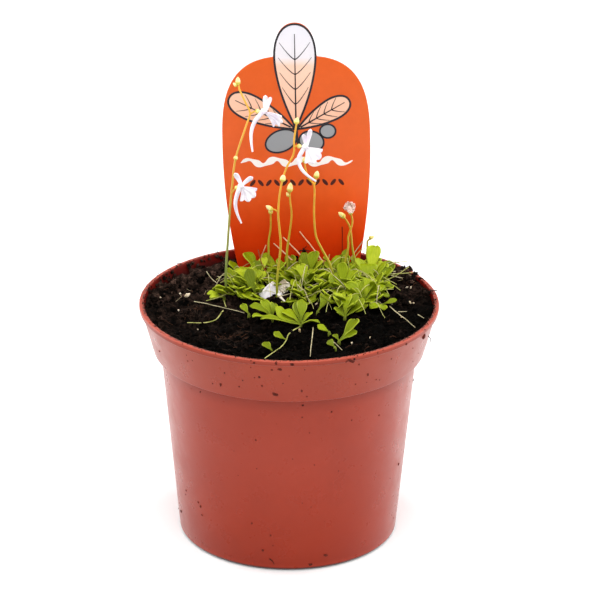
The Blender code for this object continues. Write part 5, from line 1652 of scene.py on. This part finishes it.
# Leaves: small spoon-shaped leaves, soft and yellow-green, in tufts from short crowns rooted in
# the soil. A tuft is its crown's (x, y) and its leaves as (heading, length, width, rise), and a
# runner its points and its leaves, each after its place along it.
TUFTS = {
    "tuft_front": ((3.5, -12.0), (
        (105, 8.0, 3.6, 35), (78, 8.0, 2.6, 42), (140, 7.5, 3.2, 28), (160, 9.0, 3.2, 16),
        (45, 5.5, 2.2, 30), (345, 6.0, 2.5, 16), (176, 12.5, 2.0, 12),
    )),
    "tuft_front_left": ((-5.0, -7.4), (
        (165, 8.0, 2.2, 26), (195, 6.0, 2.2, 10), (120, 6.0, 2.4, 32), (75, 4.5, 2.0, 45),
    )),
    "tuft_small_right": ((28.0, 0.8), (
        (10, 4.6, 1.7, 16), (225, 4.8, 2.4, 8), (285, 3.8, 2.0, 6),
    )),
    "tuft_sprig": ((14.8, -25.7), ((50, 10.5, 3.6, 18), (30, 6.8, 2.6, 12), (130, 3.4, 1.4, 20))),
    "tuft_right_front": ((16.7, -7.3), (
        (88, 7.0, 2.8, 42), (150, 3.8, 1.8, 30), (40, 8.5, 3.0, 16), (65, 7.5, 2.4, 38),
        (112, 10.0, 2.6, 26),
    )),
    "tuft_right_middle": ((22.6, 4.2), (
        (15, 5.2, 3.4, 18), (125, 6.5, 3.2, 36), (42, 8.5, 3.2, 18), (318, 5.0, 2.4, 8),
        (92, 6.5, 3.0, 50), (180, 6.0, 2.6, 20), (70, 5.5, 2.8, 60),
    )),
    "tuft_right_back": ((24.6, 18.4), (
        (88, 11.5, 4.5, 58), (130, 8.0, 3.4, 46), (50, 7.8, 3.4, 36), (22, 8.0, 2.0, 44),
        (342, 6.5, 3.4, 12), (20, 6.0, 3.6, 32), (165, 7.0, 3.0, 40), (300, 5.5, 3.0, 14),
        (215, 5.5, 2.8, 24),
    )),
    "tuft_right_inner": ((16.6, 11.6), (
        (75, 7.0, 3.8, 42), (118, 7.0, 3.6, 42), (20, 5.5, 2.6, 32), (160, 6.0, 2.6, 22),
        (50, 7.5, 2.4, 54), (95, 8.5, 2.6, 62), (235, 5.5, 2.8, 14), (280, 5.0, 2.8, 24),
    )),
    "tuft_back_right": ((14.6, 24.2), (
        (60, 6.5, 2.6, 42), (110, 6.0, 2.4, 55), (5, 6.5, 2.4, 32), (330, 5.5, 2.6, 24),
        (200, 5.0, 2.2, 20),
    )),
    "tuft_back": ((6.2, 23.0), (
        (75, 8.0, 3.0, 55), (115, 6.5, 2.6, 52), (135, 8.0, 3.2, 38), (340, 5.5, 2.8, 28),
        (10, 6.5, 2.6, 42), (170, 6.0, 2.8, 30), (260, 5.0, 2.6, 20), (45, 6.0, 2.4, 48),
    )),
    "tuft_middle": ((4.6, 14.8), (
        (160, 9.5, 3.2, 16), (140, 8.0, 2.4, 34), (285, 7.5, 3.0, 10), (320, 6.5, 2.6, 10),
        (10, 7.5, 3.0, 28), (100, 6.5, 2.8, 48), (205, 5.5, 2.6, 22), (50, 6.5, 2.8, 42),
        (350, 6.5, 2.6, 50),
    )),
    "tuft_back_left": ((-9.0, 21.6), (
        (137, 11.0, 3.6, 42), (75, 7.5, 2.4, 50), (20, 7.0, 2.4, 34), (345, 5.0, 2.4, 16),
        (105, 6.5, 2.4, 56), (170, 6.0, 2.6, 24),
    )),
    "tuft_left": ((-11.6, 15.6), (
        (135, 7.5, 4.0, 36), (70, 5.5, 3.2, 46), (152, 10.0, 2.2, 18), (195, 6.0, 3.0, 40),
        (340, 5.0, 2.2, 12), (212, 7.5, 2.4, 10), (258, 6.0, 2.6, 14), (108, 6.0, 2.8, 60),
    )),
    "tuft_small_left": ((-19.7, 9.6), (
        (165, 5.6, 1.8, 14), (195, 4.5, 2.2, 8), (130, 3.8, 1.6, 30),
    )),
    "tuft_lying": ((-6.2, 5.6), ((172, 8.5, 2.4, 8), (200, 4.5, 1.8, 16))),
    "tuft_spoon": ((8.6, -2.6), ((52, 7.0, 3.8, 32),)),
    "tuft_lone_left": ((-12.0, -3.6), ((125, 3.8, 1.8, 16),)),
    "tuft_lone_middle": ((12.0, -18.4), ((155, 4.2, 2.1, 12),)),
    "tuft_lone_front": ((13.6, -32.0), ((130, 4.0, 1.8, 12),)),
}
FILLED_TUFTS = (
    "tuft_right_back", "tuft_right_inner", "tuft_right_middle", "tuft_back",
    "tuft_middle", "tuft_left", "tuft_back_left", "tuft_back_right",
)
FILLERS_EACH = 2
FILLER_LENGTH = (5.0, 7.5)
FILLER_WIDTH = (2.2, 3.2)
FILLER_RISE = (20.0, 65.0)
LEAF_ROLL = (-22.0, 22.0)
LEAF_BOW = (0.25, 0.65)
RUNNERS = {
    "tuft_front": (
        ((3.5, -12.0), (0.2, -19.1), (-1.4, -25.7), (-4.7, -32.6), (-7.0, -36.6)),
        ((0.42, 155, 4.2, 2.4, 12), (0.80, 130, 4.6, 2.2, 12)),
    ),
    "tuft_small_left": (((-19.7, 9.6), (-19.4, 6.5), (-19.0, 4.4)), ()),
    "tuft_small_right": (((28.0, 0.8), (26.4, 3.4), (24.6, 5.6)), ()),
}
CROWN_ROOT = 5.0
CROWN_HEIGHT = 1.3
LEAF_SINK = 0.35
LEAF_CUP = 0.12
CAD_BLADE = 0.6
CAD_OUTLINE = ((0.0, 0.25), (0.45, 0.30), (0.8, 1.0), (1.0, 0.62))
CAD_TIP_ROUND = 0.07
LEAF_GAP = 1.2
LEAF_LIFT = CLEARANCE + CAD_BLADE / 2 + 0.1
LEAF_SAMPLES = 12
TURN_STEP = 4
TURN_TRIES = 16
LIFT_TRIES = (0, 7, 14, -6)
TRIED_SIDES = (-1.0, -0.5, 0.0, 0.5, 1.0)
FALLEN_SPREADS = (-2.6, -1.6, -0.6, 0.4, 1.4)
FALLEN_NEARER = 1.7
LEAF_SEED = 7


def leaf_rows(leaf, shares, sides, outline, tip_round):
    """A leaf as rows of points across it, kept clear of the soil: a (rows, sides, 3) array."""
    foot, heading, length, width, leaf_rise, roll, bow = leaf
    turn, pitch = math.radians(heading), math.radians(leaf_rise)
    share, side = np.array(shares)[:, None], np.array(sides)[None, :]
    wide = width * np.interp(shares, *zip(*outline))[:, None]
    tilt = math.radians(roll) * np.minimum(1.0, 2.0 * share)
    out = wide / 2 * side * np.cos(tilt)
    climb = wide / 2 * side * np.sin(tilt) + LEAF_CUP * wide * np.abs(side)
    along = share - tip_round * side**2 * np.maximum(0.0, share - 0.8) / 0.2
    forward = length * math.cos(pitch) * (2 * bow * along * (1 - along) + along**2)
    up = length * math.sin(pitch) * (2 * (1 - bow) * along * (1 - along) + along**2)
    x = foot[0] + forward * math.cos(turn) - math.sin(turn) * out
    y = foot[1] + forward * math.sin(turn) + math.cos(turn) * out
    z = foot[2] + up + climb
    need = (soil_z(x, y) + LEAF_LIFT - z).max(axis=1, keepdims=True)
    return np.stack([x, y, z + np.maximum(0.0, need)], axis=2)


def crown_foot(x, y):
    return x, y, float(soil_z(x, y)) + CROWN_HEIGHT - LEAF_SINK


def samples(path, spacing=0.7):
    """Points every `spacing` millimetres along a path, for measuring distances."""
    found = []
    for a, b in zip(path, path[1:]):
        a, b = np.array(a, float), np.array(b, float)
        count = max(1, math.ceil(float(np.linalg.norm(b - a)) / spacing))
        found += [a + (b - a) * index / count for index in range(count)]
    found.append(np.array(path[-1], float))
    return np.array(found)


def boxed(owner, points):
    """Points with their owner and the corners of the box round them."""
    return owner, points, tuple(points.min(axis=0)), tuple(points.max(axis=0))


def fixed_obstacles():
    """What stands among the leaves before any is placed, each with the tuft that it belongs to."""
    found = [(None, samples(stem_path(spec, CAD_STEM_STEP))) for spec in STEMS.values()]
    for foot, top in DRY_STALKS.values():
        found.append((None, samples(dry_stalk_path(foot, top, DRY_STALK_STEP))))
    for points in (*STRAWS.values(), *GREEN_RUNNERS.values()):
        found.append((None, samples(ground_path(points, CLEARANCE + THIN_RADIUS))))
    for name, (points, _) in RUNNERS.items():
        found.append((name, samples(ground_path(points, CLEARANCE + RUNNER_RADIUS))))
    for name, ((x, y), _) in TUFTS.items():
        ground = soil_z(x, y)
        found.append((name, samples(((x, y, ground), (x, y, ground + CROWN_HEIGHT)))))
    x, y = FALLEN_AT
    ground = soil_z(x, y)
    for spread in FALLEN_SPREADS:
        foot = (x + spread, y - FALLEN_NEARER, ground)
        found.append((None, samples((foot, (x + spread / 2, y, ground + FALLEN_HEIGHT)))))
    return [boxed(owner, points) for owner, points in found]


def touches_label(points):
    near = np.abs(points[:, 1] - LABEL_Y) < LABEL_THICKNESS / 2 + CAD_BLADE / 2 + CLEARANCE
    return bool((near & (np.abs(points[:, 0] - LABEL_PIVOT[0]) < CARD_HALF_WIDTH)).any())


def touches_pot(points):
    radius = np.hypot(points[:, 0], points[:, 1])
    return bool((radius > RIM_RADIUS - LIP_WIDTH - WALL - LEAF_GAP).any())


def fits(points, owner, placed, gap):
    if touches_label(points) or touches_pot(points):
        return False
    low, high = points.min(axis=0) - gap, points.max(axis=0) + gap
    for name, others, least, most in placed:
        if name == owner or any(a > b or c < d for a, b, c, d in zip(least, high, most, low)):
            continue
        near = others[((others > low) & (others < high)).all(axis=1)]
        if len(near) and np.min(np.linalg.norm(points[:, None] - near[None], axis=2)) < gap:
            return False
    return True


def bend_clear(owner, leaf, placed, gap=LEAF_GAP):
    """Turns and lifts a leaf step by step until it clears its neighbours; None if it can't."""
    foot, heading, length, width, leaf_rise, roll, bow = leaf
    shares = np.linspace(0.12, 1.0, LEAF_SAMPLES)
    for turn in sorted(range(-TURN_TRIES, TURN_TRIES + 1), key=abs):
        for lift in LIFT_TRIES:
            tried = (foot, heading + turn * TURN_STEP, length, width, leaf_rise + lift, roll, bow)
            rows = leaf_rows(tried, shares, TRIED_SIDES, CAD_OUTLINE, CAD_TIP_ROUND)
            points = rows.reshape(-1, 3)
            if fits(points, owner, placed, gap):
                placed.append(boxed(owner, points))
                return tried
    return None


draw = random.Random(LEAF_SEED)
placed = fixed_obstacles()
leaves = {name: [] for name in TUFTS}
for name, (crown, rows) in TUFTS.items():
    for heading, length, width, leaf_rise in rows:
        roll, bow = draw.uniform(*LEAF_ROLL), draw.uniform(*LEAF_BOW)
        leaf = (crown_foot(*crown), heading, length, width, leaf_rise, roll, bow)
        leaves[name].append(bend_clear(name, leaf, placed))
for name, (points, rows) in RUNNERS.items():
    path = ground_path(points, CLEARANCE + RUNNER_RADIUS)
    for place, heading, length, width, leaf_rise in rows:
        foot = tuple(path[round(place * (len(path) - 1))])
        leaves[name].append(
            bend_clear(name, (foot, heading, length, width, leaf_rise, 0.0, 0.4), placed)
        )
filler_ranges = ((0.0, 360.0), FILLER_LENGTH, FILLER_WIDTH, FILLER_RISE, LEAF_ROLL, LEAF_BOW)
for name in FILLED_TUFTS:
    for _ in range(FILLERS_EACH):
        leaf = (crown_foot(*TUFTS[name][0]), *[draw.uniform(*limits) for limits in filler_ranges])
        leaves[name].append(bend_clear(name, leaf, placed))

# Leaf mat: small leaves of the same plant between the tufts, each on a stalk of its own out of
# the soil. They keep clear of the dropped bloom and of the line of sight to it. Patches are
# (x, y, reach, leaves), and broad leaves (x, y, heading, length, width, rise).
MAT_PATCHES = (
    (-11.0, 17.5, 6.5, 36), (-1.0, 21.0, 7.0, 38), (7.5, 15.5, 7.5, 46), (15.5, 17.5, 7.5, 54),
    (21.0, 14.5, 7.0, 54), (18.5, 6.0, 7.0, 42), (24.5, 8.0, 4.0, 20), (12.0, 26.0, 6.5, 34),
    (21.5, 24.0, 5.0, 24), (5.5, 8.5, 3.5, 8), (-15.0, 11.0, 3.5, 8), (16.0, -3.0, 4.0, 6),
)
MAT_RIGHT_END = 31.0
BROAD_LEAVES = (
    (24.2, 16.2, 92, 7.6, 6.4, 44), (26.8, 15.4, 62, 6.8, 4.6, 30), (22.0, 14.6, 128, 6.6, 4.6, 34),
    (27.6, 12.4, 20, 4.6, 4.0, 12), (17.8, 9.6, 84, 6.2, 4.4, 36),
)
MAT_MIDDLE = (9.0, 19.0)
MAT_SPLAY = 65.0
MAT_LENGTH = (3.8, 8.6)
MAT_WIDTH = (1.9, 4.6)
MAT_RISE = (2.0, 46.0)
MAT_ROLL = (-38.0, 38.0)
MAT_GAP = 0.32
MAT_FOOT = 0.4
BLOOM_FOOT = (-5.8, 11.4, 70.6)
BLOOM_TOP = (-5.4, 12.6, 75.2)
BLOOM_SIDES = (-2.4, -1.0, 0.4, 2.0, 3.6, 5.0)
SIGHT_STEPS = 4
mat_ranges = (MAT_LENGTH, MAT_WIDTH, MAT_RISE, MAT_ROLL, LEAF_BOW)
mat_draw = random.Random(LEAF_SEED + 1)
mat_leaves = []
for side in BLOOM_SIDES:
    for step in range(SIGHT_STEPS):
        nearer = np.array((side, -2.2 * step, 0.9 * step))
        upright = samples((np.array(BLOOM_FOOT) + nearer, np.array(BLOOM_TOP) + nearer))
        placed.append(boxed("bloom", upright))


def in_mat(draw, x, y, reach):
    """A random place in a patch of the mat."""
    away, bearing = reach * math.sqrt(draw.random()), draw.uniform(0.0, math.tau)
    return x + away * math.cos(bearing), y + away * math.sin(bearing)


for x, y, reach, count in MAT_PATCHES:
    for _ in range(count):
        foot = above(*in_mat(mat_draw, x, y, reach), MAT_FOOT)
        outward = math.degrees(math.atan2(foot[1] - MAT_MIDDLE[1], foot[0] - MAT_MIDDLE[0]))
        heading = mat_draw.gauss(outward, MAT_SPLAY)
        leaf = (foot, heading, *[mat_draw.uniform(*limits) for limits in mat_ranges])
        if foot[0] + leaf[2] * math.cos(math.radians(heading)) > MAT_RIGHT_END:
            leaf = (foot, 180.0 - heading, *leaf[2:])
        mat_leaves.append(bend_clear(f"mat {len(mat_leaves)}", leaf, placed, MAT_GAP))
mat_leaves = [leaf for leaf in mat_leaves if leaf]
for x, y, heading, length, width, leaf_rise in BROAD_LEAVES:
    foot = above(x, y, CROWN_HEIGHT)
    mat_leaves.append((foot, heading, length, width, leaf_rise, 0.0, 0.4))
leaves = {name: [leaf for leaf in found if leaf] for name, found in leaves.items()}

# Leaf blades: one flat leaf is modelled as a grid, and each tuft's and the mat's leaves are
# copies of it, bent and widened to their places and given their thickness.
BLADE_THICKNESS = 0.3
BLADE_COLUMNS = 7
BLADE_PLACES = (0, 0.1, 0.22, 0.34, 0.44, 0.52, 0.6, 0.68, 0.76, 0.83, 0.89, 0.94, 0.975, 1)
BLADE_OUTLINE = (
    (0.0, 0.12), (0.16, 0.15), (0.3, 0.26), (0.42, 0.48), (0.52, 0.70), (0.62, 0.89),
    (0.70, 0.98), (0.78, 1.0), (0.84, 0.95), (0.89, 0.85), (0.94, 0.67), (0.975, 0.45), (1.0, 0.15),
)
BLADE_TIP_ROUND = 0.04
LEAF_SWAY = 0.16
LEAF_CURL = 0.7
LEAF_RIPPLE = 0.03
TUFT_FULLNESS = 1.25
MAT_FULLNESS = 1.1
WIDEST_LEAF = 4.2
LEAF_TROUGH = 0.14
LEAF_VEINS = 16.0
CROWN_LEVELS = (-CROWN_ROOT, -1.0, 0.2, 0.8, CROWN_HEIGHT)
CROWN_RADII = (0.25, 0.4, 0.5, 0.45, 0.2)
TUFT_RUNNER_RADII = (0.20, 0.13)
MAT_STALK_RADII = (0.14, 0.16)
# Tones run from 0, dark green, to 1, yellow-green, as (middle, spread).
TUFT_TONE = (0.48, 0.24)
MAT_TONE = (0.36, 0.28)
DARK_TUFTS = {
    "tuft_sprig": 0.0, "tuft_front": 0.22, "tuft_front_left": 0.28, "tuft_lone_front": 0.1,
}
bpy.ops.object.select_all(action="DESELECT")
bpy.ops.mesh.primitive_grid_add(
    x_subdivisions=BLADE_COLUMNS - 1, y_subdivisions=len(BLADE_PLACES) - 1, size=2 * MM
)
blade_grid, blade_faces = pattern(bpy.context.object)
blade_across = blade_grid[:, 0]
blade_rows = np.rint((blade_grid[:, 1] + 1) / 2 * (len(BLADE_PLACES) - 1)).astype(int)
blade_columns = np.rint((blade_across + 1) / 2 * (BLADE_COLUMNS - 1)).astype(int)
blade_along = np.array(BLADE_PLACES)[blade_rows]


def leaf_mesh(name, found, tints, fullness):
    """The leaves of one piece, bent from the flat leaf, with where each point is on its leaf."""
    parts = []
    sides = np.linspace(-1.0, 1.0, BLADE_COLUMNS)
    shares = np.array(BLADE_PLACES)[:, None]
    for foot, heading, length, width, leaf_rise, roll, bow in found:
        width = max(width, min(width * fullness, WIDEST_LEAF))
        leaf = (foot, heading, length, width, leaf_rise, roll, bow)
        grid = leaf_rows(leaf, BLADE_PLACES, sides, BLADE_OUTLINE, BLADE_TIP_ROUND)
        turn = math.radians(heading)
        sway = LEAF_SWAY * length * math.sin(heading * 1.7 + length) * shares**2
        grid[:, :, 0] -= math.sin(turn) * sway
        grid[:, :, 1] += math.cos(turn) * sway
        ripple = LEAF_RIPPLE * width * np.sin(shares * 17.0 + heading) * sides**3
        bend = LEAF_CURL * length * math.cos(math.radians(leaf_rise)) ** 2
        curl = bend * math.sin(heading * 2.3 + width) * np.maximum(0, shares - 0.5) ** 2
        trough = LEAF_TROUGH * width * math.cos(heading) * sides**2 * shares
        grid[:, :, 2] += ripple + curl + trough
        parts.append((grid[blade_rows, blade_columns], blade_faces))
    piece = gathered(name, parts)
    marked(piece, {
        "across": np.tile(blade_across, len(found)),
        "along": np.tile(blade_along, len(found)),
        "tint": np.repeat(tints, len(blade_grid)),
    })
    apply_modifier(piece, "SOLIDIFY", thickness=BLADE_THICKNESS * MM, offset=0.0)
    piece.data.shade_smooth()
    return piece


leaf_skin, tree, shader = new_finish("leaf_skin", 0.42, 0.12)
tint_ramp = put(tree, "ValToRGB")
tint_stops = tint_ramp.color_ramp.elements
tint_stops.new(0.4)
for stop, (place, colour) in zip(tint_stops, (
    (0.0, paint(102, 116, 4)), (0.45, paint(136, 152, 6)), (1.0, paint(188, 200, 46)),
)):
    stop.position = place
    stop.color = colour
tree.links.new(read_off(tree, "tint"), tint_ramp.inputs["Fac"])
across = put(tree, "Math", operation="ABSOLUTE")
tree.links.new(read_off(tree, "across"), across.inputs[0])
rim = ranged(tree, across.outputs[0], 0.78, 1.0, 0.0, 0.55)
petiole = ranged(tree, read_off(tree, "along"), 0.5, 0.15, 0.0, 0.6)
veins = put(tree, "Math", {1: LEAF_VEINS}, operation="MULTIPLY")
vein_wave = put(tree, "Math", operation="COSINE")
wire(
    tree,
    (read_off(tree, "across"), veins.inputs[0]),
    (veins.outputs[0], vein_wave.inputs[0]),
)
vein_share = ranged(tree, vein_wave.outputs[0], 0.5, 1.0, 0.0, 0.15)
colour = blended(tree, vein_share, tint_ramp.outputs["Color"], paint(164, 180, 36))
colour = blended(tree, rim, colour, paint(190, 202, 58))
colour = blended(tree, petiole, colour, paint(116, 130, 34))
leaf_patches = mottled(tree, 420.0, (0.84, 0.88, 0.78, 1.0), WHITE)
coloured(tree, shader, multiplied(tree, colour, leaf_patches.outputs["Colour"]))
bumped(tree, shader, vein_wave.outputs[0], 0.03)
leaf_stalk_skin, tree, shader = new_finish("leaf_stalk_skin", 0.5, 0.2, paint(172, 182, 84))
crown_skin = mottled_finish("crown_skin", 0.6, 0.2, 500.0, (78, 88, 20), (128, 140, 40))


def crown_run(x, y):
    """The short stock that a tuft's leaves grow from, rooted in the soil."""
    return [above(x, y, level) for level in CROWN_LEVELS], CROWN_RADII


def toned(found, middle, spread):
    """A tone for each leaf, drawn about the middle one."""
    return [min(1.0, max(0.0, tint_draw.gauss(middle, spread))) for _ in found]


tint_draw = random.Random(LEAF_SEED + 2)
for node_name, found in leaves.items():
    middle, spread = TUFT_TONE
    tints = toned(found, DARK_TUFTS.get(node_name, middle), spread)
    blades = leaf_mesh("blades", found, tints, TUFT_FULLNESS)
    blades.data.materials.append(leaf_skin)
    stock = rods("stock", [crown_run(*TUFTS[node_name][0])], 2)
    stock.data.materials.append(crown_skin)
    parts = [blades, stock]
    if node_name in RUNNERS:
        path = wavered(draped(RUNNERS[node_name][0], 0.1), 40.0)
        runner = rods("runner", [tapered(path, TUFT_RUNNER_RADII)])
        runner.data.materials.append(runner_skin)
        parts.append(runner)
    piece = joined("leafy_" + node_name, parts)
    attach(piece, "root")
    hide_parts(node_name)
mat_blades = leaf_mesh("mat_blades", mat_leaves, toned(mat_leaves, *MAT_TONE), MAT_FULLNESS)
mat_blades.data.materials.append(leaf_skin)
mat_stalks = rods("mat_stalks", [
    ([above(x, y, -1.0), (x, y, z)], MAT_STALK_RADII)
    for (x, y, z), *_ in mat_leaves
], 1)
mat_stalks.data.materials.append(leaf_stalk_skin)
leaf_mat = joined("leaf_mat", [mat_blades, mat_stalks])
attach(leaf_mat, "root")

# Strands: thin stalks and runners of the plant, some green and some dry, that grow across the
# mat in low arcs and out over the soil on its right. Outer strands are points as
# (x, y, height over the soil).
STRAND_RADIUS = (0.07, 0.13)
STRAND_LENGTH = (6.0, 16.0)
STRAND_LIFT = (2.2, 6.8)
STRAND_SHARE = 0.22
STRAND_STEPS = 9
GREEN_SHARE = 0.75
EDGE_MARGIN = 1.0
OUTER_RADII = (0.16, 0.10)
OUTER_STRANDS = (
    ((28.0, 21.0, 2.6), (31.6, 21.2, 4.6), (35.8, 20.7, 7.0)),
    ((28.6, 18.4, 2.0), (32.6, 18.4, 3.4), (37.6, 18.0, 4.4)),
    ((28.4, 16.6, 1.6), (32.4, 17.6, 3.2), (36.4, 19.8, 5.6)),
    ((28.0, 14.6, 1.4), (31.4, 14.0, 1.6), (33.6, 11.4, 0.8)),
)
strand_draw = random.Random(LEAF_SEED + 3)
strands = {"green_strands": [], "dry_strands": []}
for x, y, reach, count in MAT_PATCHES:
    for _ in range(round(count * STRAND_SHARE)):
        start_x, start_y = in_mat(strand_draw, x, y, reach)
        heading = strand_draw.uniform(0.0, math.tau)
        length, lift = strand_draw.uniform(*STRAND_LENGTH), strand_draw.uniform(*STRAND_LIFT)
        path = []
        for share in np.linspace(0.0, 1.0, STRAND_STEPS):
            away_x = start_x + length * share * math.cos(heading)
            away_y = start_y + length * share * math.sin(heading)
            in_pot = math.hypot(away_x, away_y) < soil_edge - EDGE_MARGIN
            if in_pot and away_y < LABEL_Y - EDGE_MARGIN:
                over = lift * math.sin(0.15 + 2.6 * share)
                path.append(above(away_x, away_y, over))
        if len(path) > 4:
            kind = "green_strands" if strand_draw.random() < GREEN_SHARE else "dry_strands"
            radius = strand_draw.uniform(*STRAND_RADIUS)
            run = wavered(smooth_path(path, 1.0), heading, 0.15)
            strands[kind].append((run, [radius] * len(run)))
for seed, points in enumerate(OUTER_STRANDS):
    path = smooth_path([above(*place) for place in points], 1.0)
    run = wavered(path, seed + 60.0, 0.15)
    strands["green_strands"].append(tapered(run, OUTER_RADII))
for (name, runs), skin in zip(strands.items(), (runner_skin, straw_skin)):
    piece = rods(name, runs, 1)
    piece.data.materials.append(skin)
    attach(piece, "root")

# Dirt: crumbs of dried peat that stick to the outside of the pot and on its lip, each a small
# flat lump. Rows are a bearing from the front in degrees, a height, a size and how long it is.
DIRT = (
    (-12.7, 73.0, 0.55, 1.2), (-4.5, 73.3, 0.6, 1.6), (1.4, 73.1, 0.6, 1.4),
    (24.0, 72.6, 0.8, 2.4), (50.0, 72.7, 0.5, 1.3), (-25.6, 67.5, 0.5, 1.0),
    (-11.3, 67.8, 0.55, 1.0), (-6.2, 70.7, 0.5, 1.3), (-3.1, 71.0, 0.7, 1.6),
    (-10.4, 64.7, 0.5, 1.4), (-20.0, 63.4, 0.4, 1.0), (-28.2, 63.0, 0.5, 2.2),
    (-5.6, 62.1, 0.85, 1.5), (-4.7, 61.8, 0.7, 1.0), (5.4, 63.3, 0.55, 1.7),
    (-42.5, 56.6, 0.4, 1.2), (-65.0, 65.1, 0.5, 1.0), (6.5, 57.0, 0.5, 1.0),
    (19.5, 53.9, 0.5, 1.0), (29.8, 49.8, 0.4, 1.2), (45.7, 48.5, 0.45, 1.0),
    (84.0, 50.0, 0.6, 1.2), (70.2, 25.7, 0.5, 1.1), (-62.1, 18.4, 0.45, 1.2),
    (-50.9, 17.2, 0.45, 1.0), (-49.2, 16.2, 0.5, 1.0), (-48.6, 13.3, 0.4, 1.3),
    (-17.9, 15.8, 0.4, 1.4), (-14.6, 34.9, 0.3, 1.0), (2.2, 38.9, 0.3, 1.0),
    (12.4, 36.5, 0.3, 1.2), (-12.6, 6.8, 0.5, 1.0), (20.0, 4.6, 0.5, 2.0), (33.0, 66.0, 0.45, 1.8),
    (44.0, 69.0, 0.4, 1.0), (12.0, 2.0, 0.6, 1.6), (-74.0, 8.0, 0.6, 1.3), (28.0, 70.5, 0.45, 1.4),
    (22.3, 72.9, 0.45, 3.0), (65.5, 70.6, 1.3, 1.1), (-2.0, 66.0, 0.35, 1.2),
)
DIRT_FLATNESS = 0.45
DIRT_SCALE = 0.7
FAINT_SPECKS = 120
FAINT_SIZE = (0.12, 0.34)
FAINT_LENGTH = 1.2
BODY_SPECKS_Z = (2.0, COLLAR_FOOT_Z)
COLLAR_SPECKS_Z = (61.0, POT_HEIGHT - 0.3)
DIRT_SEED = 33


def outer_radius(z):
    """The outside of the pot at a height."""
    if z > pot_lip_foot:
        return RIM_RADIUS
    if z > COLLAR_FOOT_Z:
        share = (z - COLLAR_FOOT_Z) / (pot_lip_foot - COLLAR_FOOT_Z)
        return COLLAR_FOOT_RADIUS + (COLLAR_TOP_RADIUS - COLLAR_FOOT_RADIUS) * share
    return BODY_FOOT_RADIUS + (BODY_TOP_RADIUS - BODY_FOOT_RADIUS) * (z / COLLAR_FOOT_Z)


def stuck(draw, bearing, z, size, long):
    """A lump pressed flat on the pot's outside."""
    turn = math.radians(bearing - 90.0)
    outward = Vector((math.cos(turn), math.sin(turn), 0.0))
    place = np.array(outward) * outer_radius(z) + (0.0, 0.0, z)
    frame_turn = facing(outward) @ Matrix.Rotation(draw.uniform(0.0, math.tau), 3, "Z")
    size *= DIRT_SCALE
    return draw.randrange(len(crumbs)), place, (size * long, size, size * DIRT_FLATNESS), frame_turn


draw = random.Random(DIRT_SEED)
lumps = [stuck(draw, *row) for row in DIRT]
for _ in range(FAINT_SPECKS):
    z = draw.choice((draw.uniform(*BODY_SPECKS_Z), draw.uniform(*COLLAR_SPECKS_Z)))
    bearing, size = draw.uniform(-180.0, 180.0), draw.uniform(*FAINT_SIZE)
    lumps.append(stuck(draw, bearing, z, size, FAINT_LENGTH))
pot_dirt = strewn("pot_dirt", crumbs, lumps)
dried_peat = mottled_finish("dried_peat", 0.9, 0.1, 900.0, (58, 22, 16), (104, 44, 34))
pot_dirt.data.materials.append(dried_peat)
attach(pot_dirt, "root")
